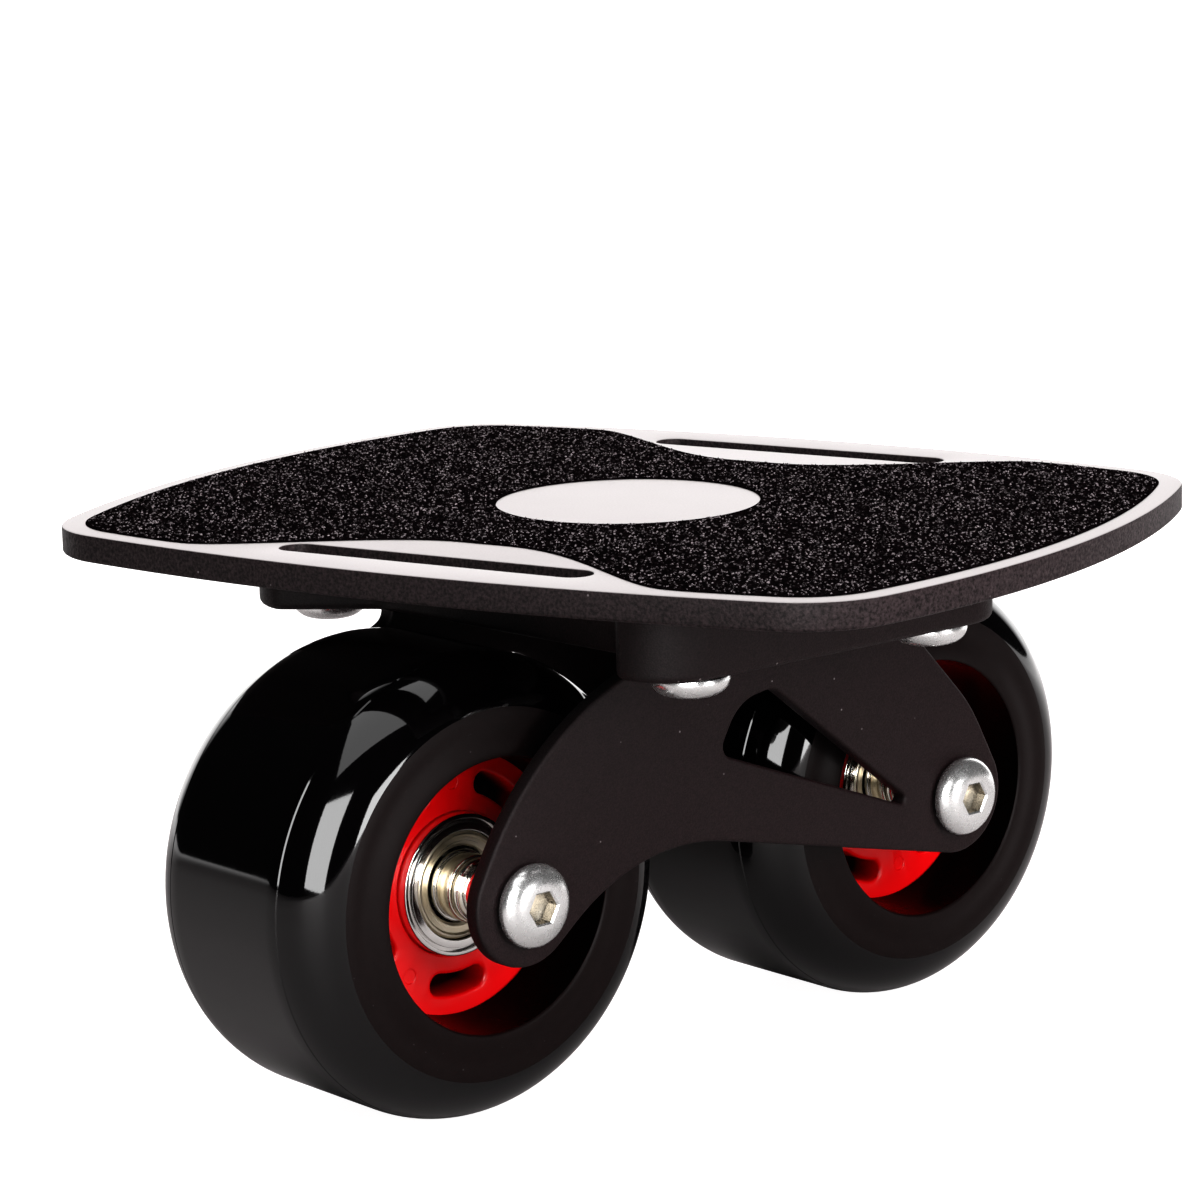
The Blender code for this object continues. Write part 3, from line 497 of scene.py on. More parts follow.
def tapeOutline(spec, inset=0.0):
    waisted = []
    halfWidth = footPlate["width"] / 2 - spec["margin"] - inset
    for x, y in crownedQuarter(footPlate, spec["margin"] + inset, spec["corner"] - inset, 1.2):
        share = min(1.0, max(0.0, (y - spec["flareStart"]) / (spec["flareEnd"] - spec["flareStart"])))
        share = share * share * (3 - 2 * share)
        limit = spec["waist"] / 2 - inset + (halfWidth - spec["waist"] / 2 + inset) * share
        waisted.append(((x + limit - hypot(x - limit, spec["flareBlend"])) / 2, y))
    return mirrored(waisted)


def circleHole(radius, steps=96):
    return arcPoints((0.0, 0.0), radius, 2 * pi, 2 * pi / steps, steps - 1)


def grown(mesh, fill, values):
    # Gives the mesh that a Geometry Nodes tree makes of this one. fill adds the tree's own nodes, and the
    # values are its named inputs; finishPiece adds the materials
    tree = bpy.data.node_groups.new(fill.__name__, "GeometryNodeTree")
    tree.is_modifier = True
    socket, identifiers = tree.interface.new_socket, {}
    socket("Geometry", in_out="INPUT", socket_type="NodeSocketGeometry")
    socket("Geometry", in_out="OUTPUT", socket_type="NodeSocketGeometry")
    for key, value in values.items():
        kind = "NodeSocket" + type(value).__name__.capitalize()  # Int, Float, Object or Material
        identifiers[key] = socket(key, in_out="INPUT", socket_type=kind).identifier
    add = partial(addNode, tree)
    given = add("NodeGroupInput").outputs
    whole = add("GeometryNodeRealizeInstances", {"Geometry": fill(add, given)}, 0)
    painted = add("GeometryNodeSetMaterial", {"Geometry": whole, "Material": given["Finish"]}, 0)
    add("NodeGroupOutput", {"Geometry": painted})
    obj = addObject("grown", mesh)
    modifier = obj.modifiers.new(tree.name, "NODES")
    modifier.node_group = tree
    for key, value in values.items():
        modifier[identifiers[key]] = value
    graph = bpy.context.evaluated_depsgraph_get()
    result = bpy.data.meshes.new_from_object(obj.evaluated_get(graph))
    bpy.data.objects.remove(obj, do_unlink=True)
    result.materials.clear()
    return result


def scatterGrit(add, given):
    # Flat-sided grains over a surface, each turned and sized at random
    seed = given["Seed"]
    field = {"Mesh": given["Geometry"], "Density": given["Density"], "Seed": seed}
    points = add("GeometryNodeDistributePointsOnFaces", field, "Points")
    grain = add("GeometryNodeMeshUVSphere", {"Segments": 4, "Rings": 2, "Radius": 1.0}, "Mesh")
    anyTurn = {"Max": (2 * pi, 2 * pi, 2 * pi), "Seed": seed}
    turn = add("FunctionNodeRandomValue", anyTurn, 0, data_type="FLOAT_VECTOR")
    low, high = (add("CombineXYZ", [given[key]] * 3, 0) for key in ("Smallest", "Largest"))
    anySize = {"Min": low, "Max": high, "Seed": seed}
    size = add("FunctionNodeRandomValue", anySize, 0, data_type="FLOAT_VECTOR")
    placed = {"Points": points, "Instance": grain, "Rotation": turn, "Scale": size}
    return add("GeometryNodeInstanceOnPoints", placed, 0)


def buildGripTape(spec):
    outlines = [tapeOutline(spec), circleHole(spec["discRadius"])]
    levels = edgeLevels(spec["bottom"], spec["top"], spec["bottomEdge"], spec["edge"], 2)
    sheet = slabMesh(outlines, levels, onTurnedPlate)
    finishPiece(sheet, "gripSheet", "truck", ["gritSheet"], ["grip_tape"])
    inset = spec["grainInset"]
    outlines = [tapeOutline(spec, inset), circleHole(spec["discRadius"] + inset)]
    field = slabMesh(outlines, [(0.0, spec["top"] - 0.01), (0.0, spec["top"])], onTurnedPlate)
    # Only the top of this thin slab carries grains
    topOnly = bmesh.new()
    topOnly.from_mesh(field)
    bmesh.ops.delete(topOnly, geom=[f for f in topOnly.faces if f.normal.z < 0.5], context="FACES")
    topOnly.to_mesh(field)
    topOnly.free()
    values = {
        "Density": spec["grainsPerSquareMetre"],
        "Smallest": spec["grainSmall"] / 2 * mm,
        "Largest": spec["grainLarge"] / 2 * mm,
        "Seed": spec["seed"],
        "Finish": finishes["gritGrain"],
    }
    grains = grown(field, scatterGrit, values)
    print("grains:", len(grains.polygons), "faces")
    piece = finishPiece(grains, "gripGrains", "truck", ["gritGrain"], [])
    for polygon in piece.data.polygons:
        polygon.use_smooth = False


buildGripTape(gripTape)
print("grip tape built")


# Flange: thick casting between the plate and the side plates, cut back round the tyres
flange = {
    "bottom": 70.6,
    "top": 82.7,
    "halfLength": 37.6,
    "halfWidth": 50.8,
    "corner": 11.8,
    "shifts": [(-3.4, -1.5), (-3.8, -2.0), (-1.2, 0.0), (-3.4, -1.0)],
    "waist": 25.8,
    "notch": 27.85,
    "slant": 12.5,
    "earCorner": 3.5,
    "notchCorner": 5.0,
    "bottomEdge": 1.3,
    "topEdge": 0.4,
}


def buildFlange(spec):
    corners = [
        (spec["waist"], spec["notch"], spec["notchCorner"]),
        (spec["halfLength"], spec["notch"] + spec["slant"], spec["earCorner"]),
        (spec["halfLength"], spec["halfWidth"], spec["corner"]),
    ]
    # Its four ears, anticlockwise from the far right, stand a little off a true rectangle
    ring = []
    for (flipX, flipY), (across, along) in zip(((1, 1), (-1, 1), (-1, -1), (1, -1)), spec["shifts"]):
        ear = [(flipX * x + across, flipY * y + along, radius) for x, y, radius in corners]
        ring += ear if flipX == flipY else ear[::-1]
    levels = edgeLevels(spec["bottom"], spec["top"], spec["bottomEdge"], spec["topEdge"])
    mesh = slabMesh([rounded(ring)], levels, lambda x, y, z: Vector((x, y, z)) * mm)
    finishPiece(mesh, "truckFlange", "truck", ["coat"], ["truck_flange"])


buildFlange(flange)


# Side plates: a bent foot with a long three-cornered window; the far one is turned half round
sidePlate = {
    "inner": 24.65,
    "outer": 27.65,
    "edge": 0.6,
    "lobe": 9.7,
    "shoulder": 57.0,
    "shoulderAngle": 62.0,
    "topAngle": 20.0,
    "topDrop": 3.0,
    "top": 34.6,
    "halfTop": 24.8,
    "neck": (28.8, 33.15, 2.3),
    "brow": (34.2, 30.4, 8.0),
    "browAngle": 46.5,
    "hip": 30.0,
    "arch": 36.0,
    "archAngle": 38.0,
    "sillAngle": -12.9,
    "window": [(-6.7, 15.9, 2.0), (37.5, -1.0, 0.8), (4.9, 24.5, 4.2), (-2.4, 23.4, 8.0)],
    "windowShift": {"near": 0.0, "far": 2.5},
}


def lobeCorner(x, radius, edgeIn, edgeOut):
    # The corner whose rounding is the lobe round a bolt, between edges at these angles
    normalIn, normalOut = (sin(edgeIn), -cos(edgeIn)), (sin(edgeOut), -cos(edgeOut))
    scale = radius / (1 + normalIn[0] * normalOut[0] + normalIn[1] * normalOut[1])
    return x + scale * (normalIn[0] + normalOut[0]), scale * (normalIn[1] + normalOut[1]), radius


def crossing(point, angle, other, otherAngle):
    ax, ay, bx, by = cos(angle), sin(angle), cos(otherAngle), sin(otherAngle)
    t = ((other[0] - point[0]) * by - (other[1] - point[1]) * bx) / (ax * by - ay * bx)
    return point[0] + ax * t, point[1] + ay * t


def sidePlateOutline(spec):
    halfBase = wheelPlaces["right"]
    # The left side leaves the top in one sweep. The right side has a neck, then a brow and a hip
    shoulder, top, arch, sill, brow = (
        radians(spec[k]) for k in ("shoulderAngle", "topAngle", "archAngle", "sillAngle", "browAngle")
    )
    half, topEnd = spec["halfTop"], spec["top"] - spec["topDrop"]
    right = lobeCorner(halfBase, spec["lobe"], sill, pi - shoulder)
    left = lobeCorner(-halfBase, spec["lobe"], pi + shoulder, arch)
    archPlace = crossing(left[:2], arch, right[:2], sill)
    hipPlace = crossing(right[:2], pi - shoulder, spec["brow"][:2], pi - brow)
    leftShoulder = crossing(left[:2], shoulder, (-half, topEnd), top)
    return rounded(
        [
            right,
            (*hipPlace, spec["hip"]),
            spec["brow"],
            spec["neck"],
            (spec["neck"][0], spec["top"], 0.0),
            (-half, spec["top"], 0.0),
            (-half, topEnd, 0.6),
            (*leftShoulder, spec["shoulder"]),
            left,
            (*archPlace, spec["arch"]),
        ],
        step=radians(3),
    )


def buildSidePlates(spec):
    levels = edgeLevels(spec["inner"], spec["outer"], spec["edge"], spec["edge"])
    for name, side in sides.items():
        window = [(u + spec["windowShift"][name], v, radius) for u, v, radius in spec["window"]]
        mesh = slabMesh(
            [sidePlateOutline(spec), rounded(window, step=radians(6))[::-1]],
            levels,
            lambda u, v, w: Vector((-side * u, side * w, axleHeight + v)) * mm,
        )
        finishPiece(mesh, f"sidePlate.{name}", "truck", ["coat"], [f"side_plate_{name}"])


buildSidePlates(sidePlate)
print("truck built")


# Round heads with a hexagon key socket
def buttonProfile(spec):
    flat, rim = spec["flatShare"] * spec["radius"], spec["rimShare"] * spec["height"]
    dome = [
        (flat + (spec["radius"] - flat) * sin(a), rim + (spec["height"] - rim) * cos(a))
        for a in quarterTurn(12)
    ]
    return [(0.0, spec["height"]), *dome, (spec["radius"] - 0.15, 0.0)]


def socketProfile(spec):
    # The key socket as a six-sided cutter with a conical floor, chamfered at its mouth
    high, floor = spec["height"], spec["height"] - spec["socketDepth"]
    sides = ((0.0, floor), (0.0, high - 0.25), (0.35, high + 0.1), (0.9, high + 1.0))  # widened by, height
    walls = [((spec["socket"] / 2 + widen) / cos(pi / 6), z) for widen, z in sides]
    cone = spec["socket"] * 0.16
    return [(0.0, floor - cone), *walls, (0.0, high + 1.0)]


def cutMesh(mesh, cutter):
    # The mesh less the cutter, by an exact Boolean, as a plain mesh
    pair = [addObject("cutPair", m) for m in (mesh, cutter)]
    boolean = pair[0].modifiers.new("cut", "BOOLEAN")
    boolean.operation = "DIFFERENCE"
    boolean.solver = "EXACT"
    boolean.object = pair[1]
    graph = bpy.context.evaluated_depsgraph_get()
    result = bpy.data.meshes.new_from_object(pair[0].evaluated_get(graph))
    for obj in pair:
        bpy.data.objects.remove(obj, do_unlink=True)
    return result


def buttonHead(profile, spec):
    head = spunMesh(buttonProfile(spec) + profile, spec["steps"], aboutUpright, False)
    return cutMesh(head, spunMesh(socketProfile(spec), 6, aboutUpright, False))


plateScrew = {
    "radius": 5.95,
    "height": 3.1,
    "flatShare": 0.42,
    "rimShare": 0.16,
    "socket": 4.0,
    "socketDepth": 1.4,
    "shank": 3.0,
    "shankLength": 16.0,
    "seat": 70.55,
    "spacingX": 50.0,
    "spacingY": 86.0,
    "shiftX": -3.2,
    "shiftY": -1.6,
    "steps": 64,
}


def screwAtEachEar(add, given):
    # A screw at each corner of a rectangle, head down, each a little further round than the last
    grid = {"Size X": given["Spacing X"], "Size Y": given["Spacing Y"], "Vertices X": 2, "Vertices Y": 2}
    ears = add("GeometryNodeMeshGrid", grid, "Mesh")
    shift = add("CombineXYZ", (given["Shift X"], given["Shift Y"], given["Seat"]), 0)
    seated = add("GeometryNodeTransform", {"Geometry": ears, "Translation": shift}, 0)
    turn = add("Math", (add("GeometryNodeInputIndex", (), 0), 0.7), 0, operation="MULTIPLY")  # radians
    spin = add("CombineXYZ", {"X": pi, "Z": turn}, 0)
    placed = {"Points": seated, "Instance": given["Geometry"], "Rotation": spin}
    return add("GeometryNodeInstanceOnPoints", placed, 0)


def buildPlateScrews(spec):
    shank, length = spec["shank"], spec["shankLength"]
    head = buttonHead([(shank, 0.0), (shank, -length), (0.0, -length)], spec)
    head.transform(Matrix.Scale(mm, 4))
    values = {"Seat": spec["seat"] * mm, "Finish": finishes["zinc"]}
    for axis in "XY":
        values |= {"Spacing " + axis: spec["spacing" + axis] * mm, "Shift " + axis: spec["shift" + axis] * mm}
    replaced = [f"plate_screw_{i}" for i in range(1, 5)]
    mesh = grown(head, screwAtEachEar, values)
    finishPiece(mesh, "plateScrews", "truck", ["zinc"], replaced)


buildPlateScrews(plateScrew)
print("plate screws built")


# Tyre: glossy tread and shoulders with a mould seam, and a satin side face round the recess
tyre = {
    "radius": 36.0,
    "halfTread": 10.8,
    "halfWidth": 20.65,
    "faceRadius": 26.5,
    "lipRadius": 21.1,
    "lipEdge": 0.5,
    "swell": 0.75,
    "hubRadius": 20.2,
    "recess": 10.9,
    "rimRadius": 22.9,
    "seam": 13.1,
    "seamWidth": 0.16,
    "seamDepth": 0.14,
    "satinTo": 28.5,
    "steps": 192,
}


def tyreProfile(spec):
    # Half from the middle of the tread to the middle of the bore, and its mirror image
    high, wide = spec["radius"] - spec["faceRadius"], spec["halfWidth"] - spec["halfTread"]

    def shoulder(angle):
        return spec["faceRadius"] + high * cos(angle), spec["halfTread"] + wide * sin(angle)

    seamAngle = asin((spec["seam"] - spec["halfTread"]) / wide)
    seamHalf = spec["seamWidth"] / wide
    angles = [seamAngle * i / 5 for i in range(5)] + [seamAngle - seamHalf]
    half = [(spec["radius"], spec["halfTread"] * i / 4) for i in range(4)]
    half += [shoulder(a) for a in angles]
    r, y = shoulder(seamAngle)
    half.append((r - spec["seamDepth"], y))
    start = seamAngle + seamHalf
    half += [shoulder(start + (pi / 2 - start) * i / 30) for i in range(31)]
    # From there the face swells a little up to the rounded lip of the recess
    lip, edge = spec["lipRadius"], spec["lipEdge"]
    across, proud = spec["faceRadius"] - lip - edge, spec["halfWidth"] + spec["swell"]
    half += [
        (spec["faceRadius"] - across * t, spec["halfWidth"] + spec["swell"] * sin(pi / 2 * t) ** 2)
        for t in (i / 8 for i in range(1, 8))
    ]
    half += [(lip + edge * (1 - sin(a)), proud - edge * (1 - cos(a))) for a in quarterTurn(5)]
    half += [(spec["hubRadius"], spec["recess"]), (spec["rimRadius"], spec["recess"])]
    return half + [(radius, -y) for radius, y in reversed(half[1:])]


def buildTyre(name, x, spec):
    mesh = spunMesh(tyreProfile(spec), spec["steps"], aboutAxle(x))
    slack = 0.1  # a face's middle lies this far at most off the profile
    for polygon in mesh.polygons:
        place = polygon.center / mm
        radius = hypot(place.x - x, place.z - axleHeight)
        inFloor = abs(place.y) < spec["recess"] + slack and radius < spec["rimRadius"] + slack
        if radius < spec["lipRadius"] + 0.02 or inFloor:
            polygon.material_index = 2
        elif abs(place.y) > spec["halfWidth"] - 0.3 and radius < spec["satinTo"]:
            polygon.material_index = 1
    materials = ["urethane", "urethaneSatin", "urethaneRecess"]
    finishPiece(mesh, f"tyre.{name}", f"{name}_wheel", materials, [f"{name}_tyre"])


# Hub: red core with five pockets in each face and a faint dimple between each two
hub = {
    "bore": 11.15,
    "stop": 10.1,
    "stopHalf": 4.2,
    "halfWidth": 10.6,
    "rim": 22.5,
    "faceEdge": 0.35,
    "flatTo": 19.6,
    "rise": 0.7,
    "steps": 144,
    "pockets": 5,
    "pocketRing": 15.75,
    "pocketLength": 10.6,
    "pocketWidth": 3.5,
    "pocketDepth": 8.2,
    "mouth": 0.6,
    "dimpleRadius": 1.1,
    "dimpleDepth": 0.2,
    "start": {"left": -90.0, "right": -113.5},
}


def hubProfile(spec):
    reach = spec["rim"] - spec["flatTo"]
    half = [
        (spec["flatTo"] + reach * sin(a), spec["halfWidth"] + spec["rise"] * (1 - cos(a)))
        for a in reversed(quarterTurn(8))
    ]
    half += [
        (spec["bore"] + spec["faceEdge"] * (1 - sin(a)), spec["halfWidth"] - spec["faceEdge"] * (1 - cos(a)))
        for a in quarterTurn(5)
    ]
    half += [(spec["bore"], spec["stopHalf"]), (spec["stop"], spec["stopHalf"])]
    return half + [(radius, -y) for radius, y in reversed(half)]


def pocketMesh(spec):
    # One bowl-shaped pocket on the +X side of the hub for each face, and the dimple halfway to the next
    halfWidth, ring = spec["pocketWidth"] / 2, spec["pocketRing"]
    sweep = (spec["pocketLength"] / 2 - halfWidth) / ring
    outline = arcPoints((0, 0), ring + halfWidth, -sweep, sweep, 6)
    for turn, first in ((sweep, sweep), (-sweep, pi - sweep)):
        centre = (ring * cos(turn), ring * sin(turn))
        outline += arcPoints(centre, halfWidth, first, first + pi, 10)[1:-1]
        if first == sweep:
            outline += arcPoints((0, 0), ring - halfWidth, sweep, -sweep, 6)
    turn = pi / spec["pockets"]
    dimple = arcPoints((ring * cos(turn), ring * sin(turn)), spec["dimpleRadius"], 0.0, 2 * pi * 23 / 24, 23)
    whole = bmesh.new()
    for ends, depth, reach, mouth in (
        (outline, spec["pocketDepth"], halfWidth * 0.85, spec["mouth"]),
        (dimple, spec["dimpleDepth"], spec["dimpleRadius"] * 0.8, spec["dimpleDepth"] * 0.9),
    ):
        levels = [
            (reach * (1 - sin(a)) ** 1.6, spec["halfWidth"] - mouth - (depth - mouth) * cos(a))
            for a in quarterTurn(8)
        ]
        levels += [
            (-mouth * (1 - cos(a)), spec["halfWidth"] - mouth * (1 - sin(a)))
            for a in quarterTurn(4, 1)
        ]
        levels.append((-mouth - 0.3, spec["halfWidth"] + 1.5))
        for side in (-1, 1):
            half = slabMesh([ends], levels, lambda u, v, w: Vector((u, side * w, side * v)))
            whole.from_mesh(half)
            bpy.data.meshes.remove(half)
    return meshFrom(whole)


def pocketsRoundTheHub(add, given):
    # Repeats a pocket round the axle, and cuts the ring of them from the hub
    places = add("GeometryNodePoints", {"Count": given["Count"]}, 0)
    step = add("Math", (-2 * pi, given["Count"]), 0, operation="DIVIDE")
    index = add("GeometryNodeInputIndex", (), 0)
    turn = add("Math", (index, step, given["Start"]), 0, operation="MULTIPLY_ADD")
    about = add("CombineXYZ", {"Y": turn}, 0)
    pocket = add("GeometryNodeObjectInfo", {"Object": given["Pocket"]}, "Geometry")
    placed = {"Points": places, "Instance": pocket, "Rotation": about}
    ring = add("GeometryNodeInstanceOnPoints", placed, 0)
    whole = add("GeometryNodeRealizeInstances", {"Geometry": ring}, 0)
    pair = {"Mesh 1": given["Geometry"], "Mesh 2": whole}
    return add("GeometryNodeMeshBoolean", pair, "Mesh", operation="DIFFERENCE", solver="EXACT")


def buildHub(name, x, spec):
    # Cut about the origin, where the pockets turn, and then moved to its axle
    body = spunMesh(hubProfile(spec), spec["steps"], aboutAxle(0.0, 0.0))
    cutter = pocketMesh(spec)
    cutter.transform(Matrix.Scale(mm, 4))
    cutterObject = addObject("pocketCutter", cutter)
    values = {"Pocket": cutterObject, "Count": spec["pockets"], "Finish": finishes["nylon"]}
    mesh = grown(body, pocketsRoundTheHub, values | {"Start": radians(-spec["start"][name])})
    bpy.data.objects.remove(cutterObject, do_unlink=True)
    mesh.transform(Matrix.Translation(Vector((x, 0.0, axleHeight)) * mm))
    finishPiece(mesh, f"hub.{name}", f"{name}_wheel", ["nylon"], [f"{name}_hub"], radians(30))


# Bearing: two ground races and a pressed shield with a step in it
bearing = {
    "outer": 11.0,
    "bore": 4.1,
    "middle": 8.7,
    "halfWidth": 3.5,
    "outerLand": 10.0,
    "lip": 8.45,
    "lipDepth": 0.6,
    "groove": (10.3, 9.65, 0.8),
    "innerLand": 5.55,
    "edge": 0.3,
    "shieldOuter": 8.3,
    "shieldRim": 7.7,
    "shieldInner": 5.95,
    "shieldDrop": 0.15,
    "shieldStep": 0.3,
    "thickness": 0.25,
    "steps": 128,
}


def tubeProfile(bore, radius, low, high, edge, boreEdge, step=radians(22)):
    corners = [(radius, high, edge), (radius, low, edge), (bore, low, boreEdge), (bore, high, boreEdge)]
    return rounded(corners, step=step)


def outerRaceProfile(spec):
    # Its faces reach in over the balls as a bright band, with a groove near the rim
    half, edge, (high, low, deep) = spec["halfWidth"], spec["edge"], spec["groove"]
    side = [
        (spec["outer"], half, edge),
        (high, half, 0.06),
        (high - 0.05, half - deep, 0.0),
        (low + 0.05, half - deep, 0.0),
        (low, half, 0.06),
        (spec["lip"], half, 0.12),
        (spec["lip"], half - spec["lipDepth"], 0.0),
        (spec["outerLand"], half - spec["lipDepth"], 0.0),
    ]
    return rounded(side + [(radius, -y, bend) for radius, y, bend in reversed(side)], step=radians(15))


def shieldProfile(spec):
    low, high, drop, step = spec["shieldInner"], spec["shieldOuter"], spec["shieldDrop"], spec["shieldStep"]
    rim = spec["shieldRim"]
    outside = [
        (high, -drop - 0.3, 0.0),
        (high - 0.25, -drop, 0.1),
        (rim, -drop + 0.1, 0.15),
        (rim - 0.25, -drop - step, 0.15),
        (low + 0.4, -drop - step, 0.2),
        (low, -drop - step - 0.35, 0.0),
    ]
    inside = [(radius, y - spec["thickness"], 0.0) for radius, y, _ in reversed(outside)]
    return rounded(outside + inside, step=radians(15))


def buildBearing(name, side, x, spec):
    half, edge, shield = spec["halfWidth"], spec["edge"] * 0.8, shieldProfile(spec)
    inner = tubeProfile(spec["bore"], spec["innerLand"], -half, half, edge, edge * 0.6, radians(15))
    outside, inside = ([(radius, way * (half + y)) for radius, y in shield] for way in (1, -1))
    place, wheel = f"{name}.{side}", f"{name}_wheel"
    for piece, profile, body, slot, finish, node in (
        (f"outerRace.{place}", outerRaceProfile(spec), wheel, "bearing_steel", "race", "outer_race"),
        (f"innerRace.{place}", inner, "truck", "bearing_steel", "race", "inner_race"),
        (f"shield.{place}.outside", outside, wheel, "shield_steel", "shield", "shield_outside"),
        (f"shield.{place}.inside", inside, wheel, "shield_steel", "shield", "shield_inside"),
    ):
        profile = [(radius, sides[side] * (spec["middle"] + y)) for radius, y in profile]
        mesh = spunMesh(profile, spec["steps"], aboutAxle(x))
        finishPiece(mesh, piece, body, [finish], [f"{name}_{side}_bearing_{node}"])


# What each bolt carries: collars, spacer tubes, the bolt itself, a washer and a lock nut
axle = {
    "bore": 4.05,
    "collarRadius": 5.2,
    "collarFrom": 12.3,
    "collarTo": 15.5,
    "spacerRadius": 4.85,
    "spacerFrom": 15.7,
    "spacerTo": 24.35,
    "spacerBand": (5.0, 17.2),
    "spacerTip": 4.4,
    "washerRadius": 8.0,
    "washerFrom": 27.95,
    "washerTo": 29.55,
    "nutFrom": 29.85,
    "nutWidth": 13.0,
    "nutHeight": 6.5,
    "nutCollarRadius": 5.6,
    "nutCollarHeight": 1.5,
    "boltRadius": 4.0,
    "boltEnd": 39.85,
    "threadFrom": 28.0,
    "threadPitch": 1.25,
    "threadDepth": 0.6,
    "steps": 96,
}
axleHead = {
    "radius": 6.4,
    "height": 3.0,
    "flatShare": 0.42,
    "rimShare": 0.20,
    "socket": 4.6,
    "socketDepth": 2.3,
    "seat": 28.35,
    "steps": 96,
}


def spacerProfile(spec):
    # A polished tube with a raised band and a groove at its inner end, tapered a little, so that
    # it mirrors the red hub as in the photograph
    bore, radius, (band, bandEnd) = spec["bore"], spec["spacerRadius"], spec["spacerBand"]
    corners = [
        (spec["spacerTip"], spec["spacerTo"], 0.3),
        (radius, bandEnd + 0.3, 0.08),
        (radius - 0.35, bandEnd + 0.25, 0.0),
        (radius - 0.35, bandEnd + 0.1, 0.0),
        (band, bandEnd, 0.14),
        (band, spec["spacerFrom"], 0.25),
        (bore, spec["spacerFrom"], 0.1),
        (bore, spec["spacerTo"], 0.1),
    ]
    return rounded(corners, step=radians(22))


def buildAxle(name, x, spec):
    collar, washer = (
        tubeProfile(spec["bore"], *(spec[kind + end] for end in ("Radius", "From", "To")), edge, edge / 2)
        for kind, edge in (("collar", 0.35), ("washer", 0.3))
    )
    kinds = ("collar", collar, "turned"), ("spacer", spacerProfile(spec), "polished")
    pieces = []
    for side, sign in sides.items():
        for kind, profile, finish in kinds:
            names = f"{kind}.{name}.{side}", f"{name}_{kind}_{side}"
            pieces.append((*names, profile, sign, "spacer_steel", finish))
    pieces.append((f"washer.{name}", f"{name}_axle_washer", washer, 1, "bright_zinc", "zinc"))
    for piece, node, profile, sign, slot, finish in pieces:
        profile = [(radius, sign * y) for radius, y in profile]
        mesh = spunMesh(profile, spec["steps"], aboutAxle(x))
        finishPiece(mesh, piece, "truck", [finish], [node])
    buildBolt(name, x, spec, axleHead)
    buildNut(name, x, spec)


def buildBolt(name, x, spec, head):
    seat, top = head["seat"], head["seat"] + head["height"]
    tip, plain = seat + spec["boltEnd"], seat + spec["threadFrom"]
    radius, core = spec["boltRadius"], spec["boltRadius"] - spec["threadDepth"]
    shank = [(radius, 0.0), (radius, -plain), (core, -plain), (core, -tip), (0.0, -tip)]
    mesh = buttonHead(shank, head)
    place = Matrix.Translation(Vector((x, -seat, axleHeight)) * mm)
    mesh.transform(place @ Matrix.Rotation(pi / 2, 4, "X") @ Matrix.Scale(mm, 4))
    # What lies below the head's top and within the socket's corners is key socket, which takes the darker
    # zinc painted as shade in the socket
    deep, mouth = 0.12, head["socket"] / 2 / cos(pi / 6) + 0.1
    for polygon in mesh.polygons:
        off = polygon.center / mm - Vector((x, -top, axleHeight))
        polygon.material_index = int(deep < off.y < head["height"] and hypot(off.x, off.z) < mouth)
    materials, replaced = ["zinc", "keySocket"], [f"{name}_axle_bolt"]
    finishPiece(mesh, f"axleBolt.{name}", "truck", materials, replaced, radians(28))

    # The thread is a helix of its own round the core, from the plain part down to the tip
    def ridge(radius, y, angle):
        phase = (y / spec["threadPitch"] - angle / (2 * pi)) % 1.0
        return radius + spec["threadDepth"] * abs(2 * phase - 1)

    rows = ceil((tip - plain) / spec["threadPitch"] * 8)
    outline = [(core, spec["threadFrom"] + (tip - plain) * i / rows) for i in range(rows + 1)]
    outline = [(0.0, outline[0][1]), *outline, (0.0, outline[-1][1] + 0.05)]
    mesh = spunMesh(outline, spec["steps"], aboutAxle(x), False, ridge)
    finishPiece(mesh, f"thread.{name}", "truck", ["zinc"], [], radians(60))


def buildNut(name, x, spec):
    # A hexagon chamfered by a cone, and the round collar that holds the locking ring
    low, high, half = spec["nutFrom"], spec["nutFrom"] + spec["nutHeight"], spec["nutWidth"] / 2
    collar, top, chamfer = spec["nutCollarRadius"], high + spec["nutCollarHeight"], 0.9
    profile = [
        (half - 0.3, low),
        (half / cos(pi / 6), low + chamfer),
        (half / cos(pi / 6), high - chamfer),
        (half - 0.2, high),
        (collar + 0.5, high + 0.05),
        (collar + 0.15, high + 0.3),
        (collar, top - 0.4),
        (collar - 0.5, top),
        (spec["bore"] + 0.5, top - 0.05),
        (spec["bore"], top - 0.5),
        (spec["bore"], low),
    ]

    def hexagon(radius, y, angle):
        flat = half / cos((angle + pi / 6) % (pi / 3) - pi / 6)
        return min(radius, flat) if radius > collar + 0.6 else radius

    mesh = spunMesh(profile, spec["steps"], aboutAxle(x), True, hexagon)
    finishPiece(mesh, f"lockNut.{name}", "truck", ["zinc"], [f"{name}_lock_nut"], radians(25))


for name, x in wheelPlaces.items():
    buildTyre(name, x, tyre)
    buildHub(name, x, hub)
    for side in sides:
        buildBearing(name, side, x, bearing)
    buildAxle(name, x, axle)
    print(name, "wheel built")

# What stays from the CAD is out of sight in the wheels, and gets its finish all the same
keptNodes = {"bearing_sleeve": "turned", "near_bearing_ball_cage": "ball", "far_bearing_ball_cage": "ball"}
for node, finish in keptNodes.items():
    for name in wheelPlaces:
        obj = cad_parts[f"{name}_{node}"]
        obj.data.materials.clear()
        obj.data.materials.append(finishes[finish])


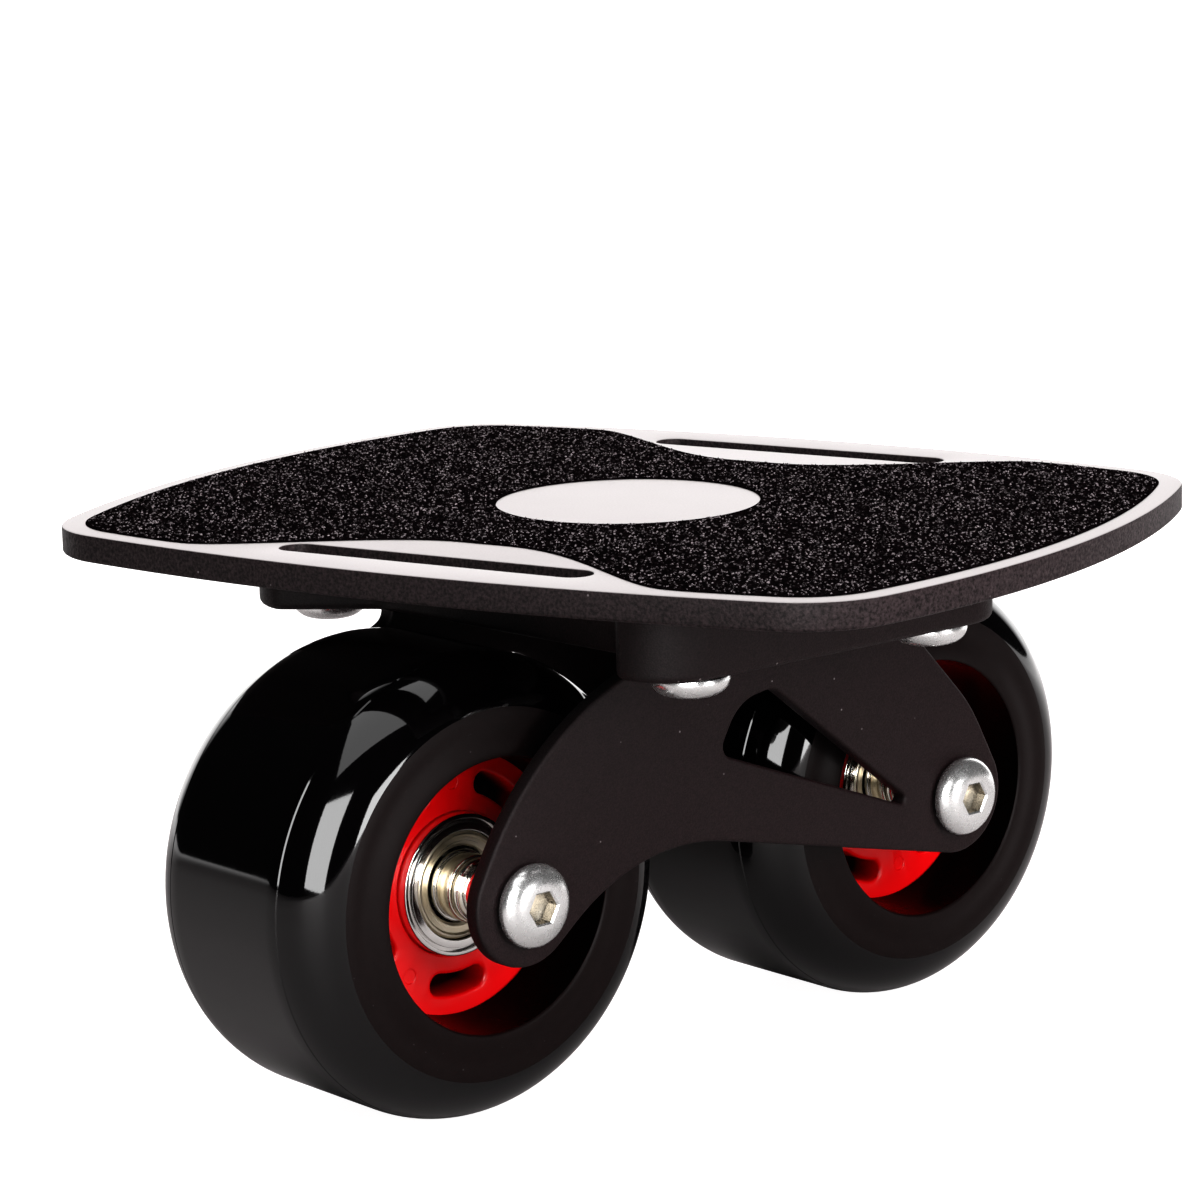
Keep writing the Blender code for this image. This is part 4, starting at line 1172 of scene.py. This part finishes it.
# Studio: a pale floor in a dim room, a white backdrop behind the skate, and soft boxes.
# The boxes stand where the tyre's highlights in the photograph say: azimuth (anticlockwise from
# +X) and elevation from the skate, distance, width, height, roll, radiance
studio = {
    "floorSize": 14.0,
    "floor": "#a69c9d",
    "roomLight": 0.02,
    "backdropLight": 2.4,
    "backdropTowards": (48.85, 10.0),
    "backdropEdge": (48.0, 36.0),  # its soft edge, in degrees from its middle
    "seenGlow": 0.85,
    "glowReach": (0.2, 2.0),  # metres from the skate over which the floor's glow grows
    "sweepGlow": 1.5,
    "sweepReach": (0.14, 0.5),  # metres behind the skate where the floor turns into the backdrop
    "aim": 0.05,
    "boxes": {
        "frontBox": (-137.5, 17.0, 1.4, 0.86, 0.87, -10.0, 10.0),
        "sideBox": (-79.0, 3.0, 1.4, 0.34, 0.32, 0.0, 13.0),
        "topBox": (-120.0, 79.0, 1.47, 1.4, 1.4, 0.0, 2.0),
        "fillBox": (-84.0, 30.0, 1.5, 1.0, 1.0, 0.0, 6.0),
    },
}


def towards(azimuth, elevation):
    a, e = radians(azimuth), radians(elevation)
    return Vector((cos(a) * cos(e), sin(a) * cos(e), sin(e)))


def floorFinish(spec):
    # Painted sweep: to the camera it glows a little, as an overexposed floor does
    constants = {"Roughness": 0.7, "Emission Color": linear("#fbfafa")}
    material, add, place = newMaterial("paleStudioSweep", constants)
    away = add("VectorMath", (place,), "Value", operation="LENGTH")
    near = add("MapRange", (away, *spec["glowReach"], spec["seenGlow"], 1.0), 0)
    seen = add("LightPath", (), "Is Camera Ray")
    backdrop = towards(spec["backdropTowards"][0], 0.0)
    behind = add("VectorMath", (place, backdrop), "Value", operation="DOT_PRODUCT")
    sweep = add("MapRange", (behind, *spec["sweepReach"], 0.0, spec["sweepGlow"]), 0)
    glow = add("Math", (near, seen), 0, operation="MULTIPLY")
    strength = add("Math", (glow, sweep), 0, operation="MAXIMUM")
    return finished(material, (spec["floor"], (patches(add, place, 400.0), "#cccac9")), glow=strength)


def buildStudio(spec):
    scene.view_settings.view_transform = "Standard"
    scene.view_settings.look = "Medium High Contrast"
    half = spec["floorSize"] / 2
    mesh = bpy.data.meshes.new("floor")
    corners = [(-half, -half, 0), (half, -half, 0), (half, half, 0), (-half, half, 0)]
    mesh.from_pydata(corners, [], [(0, 1, 2, 3)])
    mesh.materials.append(floorFinish(spec))
    addObject("floor", mesh)
    for name, (azimuth, elevation, distance, width, height, roll, radiance) in spec["boxes"].items():
        away = towards(azimuth, elevation)
        data = bpy.data.lights.new(name, "AREA")
        data.shape = "RECTANGLE"
        data.size, data.size_y = width, height
        data.energy = radiance * pi * width * height
        lamp = addObject(name, data)
        lamp.location = Vector((0.0, 0.0, spec["aim"])) + away * distance
        facing = away.to_track_quat("Z", "Y").to_matrix()
        lamp.rotation_euler = (facing @ Matrix.Rotation(radians(roll), 3, "Z")).to_euler()
        lamp.visible_diffuse = name != "frontBox"
        lamp.visible_glossy = name != "fillBox"
    world = bpy.data.worlds.new("room")
    world.use_nodes = True
    add = partial(addNode, world.node_tree)
    # The backdrop lights the scene; elsewhere only the camera sees the room bright
    direction = add("TexCoord", (), "Generated")
    backdrop = towards(*spec["backdropTowards"])
    facing = add("VectorMath", (direction, backdrop), "Value", operation="DOT_PRODUCT")
    edges = (cos(radians(angle)) for angle in spec["backdropEdge"])
    lit = add("MapRange", (facing, *edges, spec["roomLight"], spec["backdropLight"]), 0)
    seen = add("LightPath", (), "Is Camera Ray")
    strength = add("Math", (lit, seen), 0, operation="MAXIMUM")
    background = world.node_tree.nodes["Background"]
    background.inputs["Color"].default_value = linear("#fbfafa")
    world.node_tree.links.new(strength, background.inputs["Strength"])
    scene.world = world


buildStudio(studio)
print("studio built")
